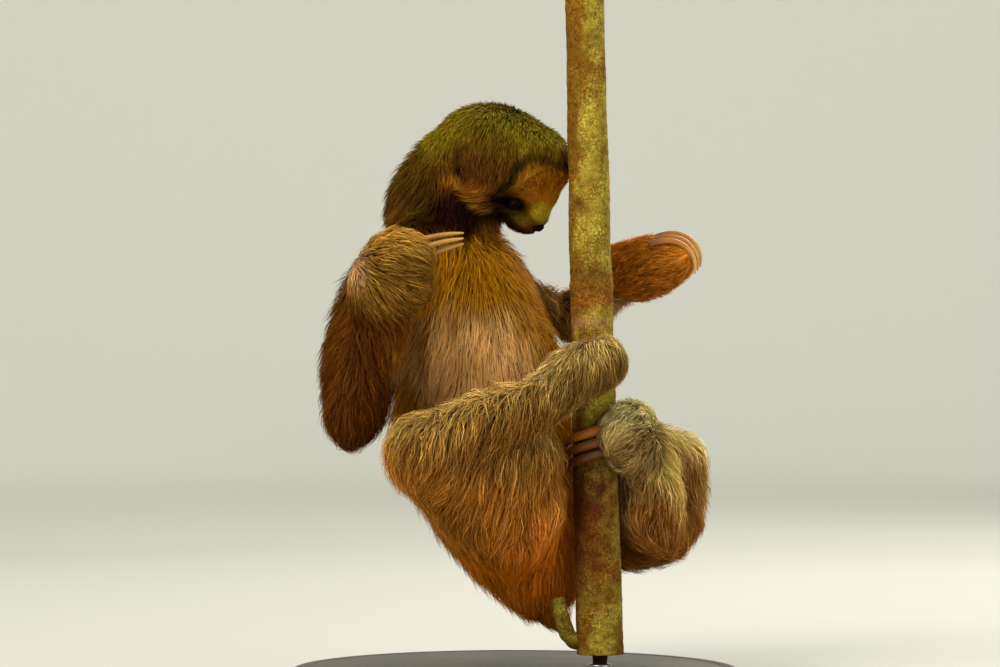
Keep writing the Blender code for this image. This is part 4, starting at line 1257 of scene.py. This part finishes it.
for limb, codes in CLAW_COLOURS.items():
    for number in (1, 2, 3):
        node = f"{limb}_claw_{number}"
        claw_mesh = rounded_copy(node, CLAW_ROUNDING)
        points = mesh_points(claw_mesh)
        root = points[np.linalg.norm(points - middle(limb), axis=1).argmin()]
        along = np.linalg.norm(points - root, axis=1)
        along = (along / along.max())[:, None]
        root_tint, middle_tint, tip_tint = (colour(code) for code in codes)
        claw_tint = blend(root_tint, middle_tint, step_between(0.05, 0.40, along))
        claw_tint = blend(claw_tint, tip_tint, step_between(0.55, 1.0, along))
        # Painted shade darkens the lower claws of the left foot.
        claw_tint = claw_tint * CLAW_PAINTED_SHADE.get(limb, (1.0, 1.0, 1.0))[number - 1]
        new_piece(f"horn_{node}", claw_mesh, HORN, "claw_horn", node, tint=claw_tint)
print("claws:", 3 * len(CLAW_COLOURS))

# %% [markdown]
# ## Bark
# The stem is a thin forest trunk: brown bark with pale olive lichen, which is thickest on one side, and a darker
# brown length below the middle. It has a round scar where a twig fell off, a low ledge and a few knots. Its
# shape is a tapering tube whose radius is moved by waves at three sizes and by those features. The fine
# freckles stay in the material.

# %% The stem's surface
BARK_ROWS, BARK_COLUMNS = 520, 120
LEDGE_HEIGHT = 0.316
SCAR = (0.163, -1.75)  # height, and turn about the stem; -pi/2 faces the viewer
SCAR_RADIUS = 0.0085
KNOTS = [(0.500, -1.3, 0.006), (0.106, -1.5, 0.006), (0.085, -1.2, 0.005), (0.430, 2.2, 0.008), (0.230, 1.4, 0.008)]

height = np.linspace(STEM_FOOT[2], STEM_TOP[2], BARK_ROWS)[:, None]
share = (height - STEM_FOOT[2]) / (STEM_TOP[2] - STEM_FOOT[2])
turn = np.linspace(-math.pi, math.pi, BARK_COLUMNS, endpoint=False)[None]
radius = STEM_FOOT_RADIUS + share * (STEM_TOP_RADIUS - STEM_FOOT_RADIUS)
outward = np.stack(np.broadcast_arrays(np.cos(turn), np.sin(turn), 0 * height), -1)
axis = STEM_FOOT + share[..., None] * (STEM_TOP - STEM_FOOT)
bare = axis + radius[..., None] * outward

rise = 0.00045 * waves(bare * (1, 1, 0.45), 0.030, 31) + 0.00022 * waves(bare, 0.009, 32)
rise += 0.00012 * waves(bare * (1, 1, 2.0), 0.0035, 33)
rise += 0.0010 * bell(height - LEDGE_HEIGHT, 0.0022) * (0.6 + 0.4 * np.cos(turn + 2.4))
for place, way, size in KNOTS:
    away = np.hypot(height - place, radius * ((turn - way + math.pi) % (2 * math.pi) - math.pi))
    rise += 0.25 * size * bell(away, size) - 0.22 * size * bell(away, 0.45 * size)
scar_gap = np.hypot((height - SCAR[0]) / 1.3, radius * (turn - SCAR[1]))
rise += 0.0010 * bell(scar_gap - SCAR_RADIUS, 0.0016) - 0.0006 * bell(scar_gap, 0.006)
points, triangles = closed_rings(bare + (rise - 0.0004)[..., None] * outward)
print("bark:", len(triangles), "triangles, relief", rise.min().round(4), rise.max().round(4))

# %% Its colours
BARK_ZONES = [  # height, half-height, turn it faces, colour, strength
    (0.156, 0.044, -1.9, "441804", 1.05),
    (0.100, 0.040, -2.6, "552a08", 0.85),
    (0.305, 0.010, -1.0, "7a3c10", 0.7),
    (0.288, 0.004, -1.6, "a07048", 0.6),
    (0.330, 0.012, -1.6, "5e4412", 0.5),
]
FRECKLE_TINT = (2.4, 2.5, 3.4)  # a freckle's colour over the bark's
brown, lichen = colour("6c480a"), colour("8e7a26")
facing = np.append(np.broadcast_to(turn, (BARK_ROWS, BARK_COLUMNS)).ravel(), [0.0, 0.0])
patches = waves(points, 0.055, 41) + 0.7 * waves(points, 0.016, 42) + 0.8 * np.cos(facing + 0.5)
patches = step_between(-0.5, 1.3, patches)[:, None]
bark_tint = blend(brown, lichen, patches)
for place, half, way, code, strength in BARK_ZONES:
    near = np.exp(-(((points[:, 2] - place) / half) ** 2) - (1 - np.cos(facing - way)) * 0.7)
    near = strength * near * (0.82 + 0.16 * waves(points, 0.012, 43))
    bark_tint = blend(bark_tint, colour(code), near.clip(0, 1)[:, None])
scar_share = np.append(bell(scar_gap - SCAR_RADIUS, 0.0014).ravel(), [0, 0])[:, None]
bark_tint = blend(bark_tint, colour("3a1c0a"), 0.6 * scar_share)

BARK, bark_tree, bark_shader = new_material("lichened_bark", 0.85, 0.10)
bark_base = held_tint(bark_tree)
bark_grain = noise(bark_tree, 170.0, 8.0, Roughness=0.8)
bark_toned = times(bark_tree, bark_base, ranged(bark_tree, bark_grain, 0.38, 0.62, 0.50, 1.40))
freckles = ranged(bark_tree, noise(bark_tree, 620.0, 6.0), 0.46, 0.66)
clusters = ranged(bark_tree, noise(bark_tree, 60.0, 4.0), 0.38, 0.60, 0.15, 1.0)
freckle_share = worked(bark_tree, "MULTIPLY", freckles, clusters)
freckled = mixed(bark_tree, freckle_share, bark_toned, times(bark_tree, bark_base, FRECKLE_TINT))
bark_high = worked(bark_tree, "ADD", bark_grain, cells(bark_tree, 260.0))
dress(bark_tree, bark_shader, freckled, bark_high, 0.6, 0.0012)

new_piece("stem_bark", (points, triangles), BARK, "bark", "perch_stem", tint=bark_tint)

# %% The side shoot
SHOOT = np.array([(0.0580, 0.0000, 0.0370), (0.0470, -0.0020, 0.0385), (0.0400, -0.0030, 0.0470),
                  (0.0358, -0.0020, 0.0600), (0.0338, 0.0010, 0.0720)])
SHOOT_RADII = np.array((0.0055, 0.0062, 0.0064, 0.0062, 0.0058))


def curve_through(points, count):
    """Catmull-Rom curve: each stretch is the cubic with the tangents (next - last) / 2 at its ends."""
    padded = np.vstack([2 * points[0] - points[1], points, 2 * points[-1] - points[-2]])
    place = np.linspace(0, len(points) - 1 - 1e-9, count)
    stretch, t = place.astype(int), (place % 1)[:, None]
    p0, p1, p2, p3 = (padded[stretch + i] for i in range(4))
    return 0.5 * (2 * p1 + (p2 - p0) * t + (2 * p0 - 5 * p1 + 4 * p2 - p3) * t ** 2
                  + (3 * p1 - p0 - 3 * p2 + p3) * t ** 3)


def tube(path, radii, columns):
    """Rings of that radius round a path, each square to the path's direction there."""
    ahead = unit(np.gradient(path, axis=0))
    side = unit(np.cross(ahead, (0.0, 1.0, 0.0)))
    over = np.cross(side, ahead)
    turn = np.linspace(0, 2 * math.pi, columns, endpoint=False)
    ring = np.cos(turn)[None, :, None] * side[:, None] + np.sin(turn)[None, :, None] * over[:, None]
    return path[:, None] + radii[:, None, None] * ring


shoot_path = curve_through(SHOOT, 90)
shoot_radii = np.interp(np.linspace(0, 1, 90), np.linspace(0, 1, len(SHOOT)), SHOOT_RADII)
rings = tube(shoot_path, shoot_radii - 0.0002, 40)
rings += 0.0003 * waves(rings, 0.008, 51)[..., None]
points, triangles = closed_rings(rings)
green = step_between(-0.6, 0.6, waves(points, 0.014, 52))[:, None]
shoot_tint = blend(colour("6a5418"), colour("7a6a1c"), green)
new_piece("side_shoot", (points, triangles), BARK, "bark", tint=shoot_tint)

# %% [markdown]
# ## The stand
# A turned board of dark stained wood with a rounded edge and a bevelled foot, and one brushed steel rod with a
# collar, as a museum would use. They keep the solids' sizes.

# %% Board
base_low, base_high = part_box("stand_base")
BOARD_RADIUS = (base_high - base_low).x / 2
BOARD_TOP = base_high.z
EDGE = 0.0035
BOARD_CENTRE = middle("stand_base") * (1, 1, 0)

corner = np.linspace(0, math.pi / 2, 9)
top_edge = np.stack([BOARD_RADIUS - EDGE + EDGE * np.cos(corner), BOARD_TOP - EDGE + EDGE * np.sin(corner)], 1)
foot_edge = np.array([(0.02, 0.0), (BOARD_RADIUS - 0.006, 0.0), (BOARD_RADIUS - 0.002, 0.0008),
                      (BOARD_RADIUS - 0.0012, 0.003)])
groove = np.array([(BOARD_RADIUS - 0.011, BOARD_TOP), (BOARD_RADIUS - 0.0122, BOARD_TOP - 0.0007),
                   (BOARD_RADIUS - 0.0134, BOARD_TOP), (0.10, BOARD_TOP), (0.02, BOARD_TOP)])
rings = lathe(np.vstack([foot_edge, top_edge, groove]), 160, BOARD_CENTRE)

WOOD, wood_tree, wood_shader = new_material("stained_board", 0.42, 0.45)
wood_grain = stretched(wood_tree, (1.0, 9.0, 9.0))
wood_rings = add_node(wood_tree, "ShaderNodeTexWave", Vector=wood_grain, Scale=3.2, Distortion=5.0, Detail=4.0)
wood_pores = noise(wood_tree, 90.0, 5.0, Vector=wood_grain)
wood_mix = worked(wood_tree, "MULTIPLY_ADD", wood_pores, 0.5, wood_rings.outputs["Fac"])
wood_tint = ramp(wood_tree, wood_mix, [(0.2, "1c120c"), (1.0, "3a2416")])
dress(wood_tree, wood_shader, wood_tint, wood_pores, 0.2, 0.0005)
new_piece("stand_board", closed_rings(rings), WOOD, "stand_board", "stand_base")

# %% Rod
rod_low, rod_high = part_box("stand_rod")
ROD_RADIUS = (rod_high - rod_low).x / 2
ROD_CENTRE = middle("stand_rod") * (1, 1, 0)
COLLAR = 0.0035
collar_low, collar_high = BOARD_TOP + 0.0002, BOARD_TOP + 0.0035
rod_profile = [(0.003, rod_low.z), (ROD_RADIUS, rod_low.z), (ROD_RADIUS, collar_low),
               (ROD_RADIUS + COLLAR, collar_low), (ROD_RADIUS + COLLAR, collar_high - 0.0008),
               (ROD_RADIUS + COLLAR - 0.0008, collar_high), (ROD_RADIUS, collar_high),
               (ROD_RADIUS, rod_high.z - 0.0005), (ROD_RADIUS - 0.0005, rod_high.z), (0.003, rod_high.z)]
rings = lathe(rod_profile, 64, ROD_CENTRE)

STEEL, steel_tree, steel_shader = new_material("brushed_rod", 0.32)
steel_shader.inputs["Metallic"].default_value = 1.0
steel_lines = noise(steel_tree, 6.0, 3.0, Vector=stretched(steel_tree, (40.0, 40.0, 900.0)))
steel_tint = ramp(steel_tree, steel_lines, [(0.3, "8e8f90"), (0.7, "b9babb")])
dress(steel_tree, steel_shader, steel_tint, steel_lines, 0.1, 0.0002)
new_piece("stand_rod_steel", closed_rings(rings), STEEL, "stand_steel", "stand_rod")
print("stand: board", round(2 * BOARD_RADIUS, 3), "wide, rod", round(2 * ROD_RADIUS, 3))
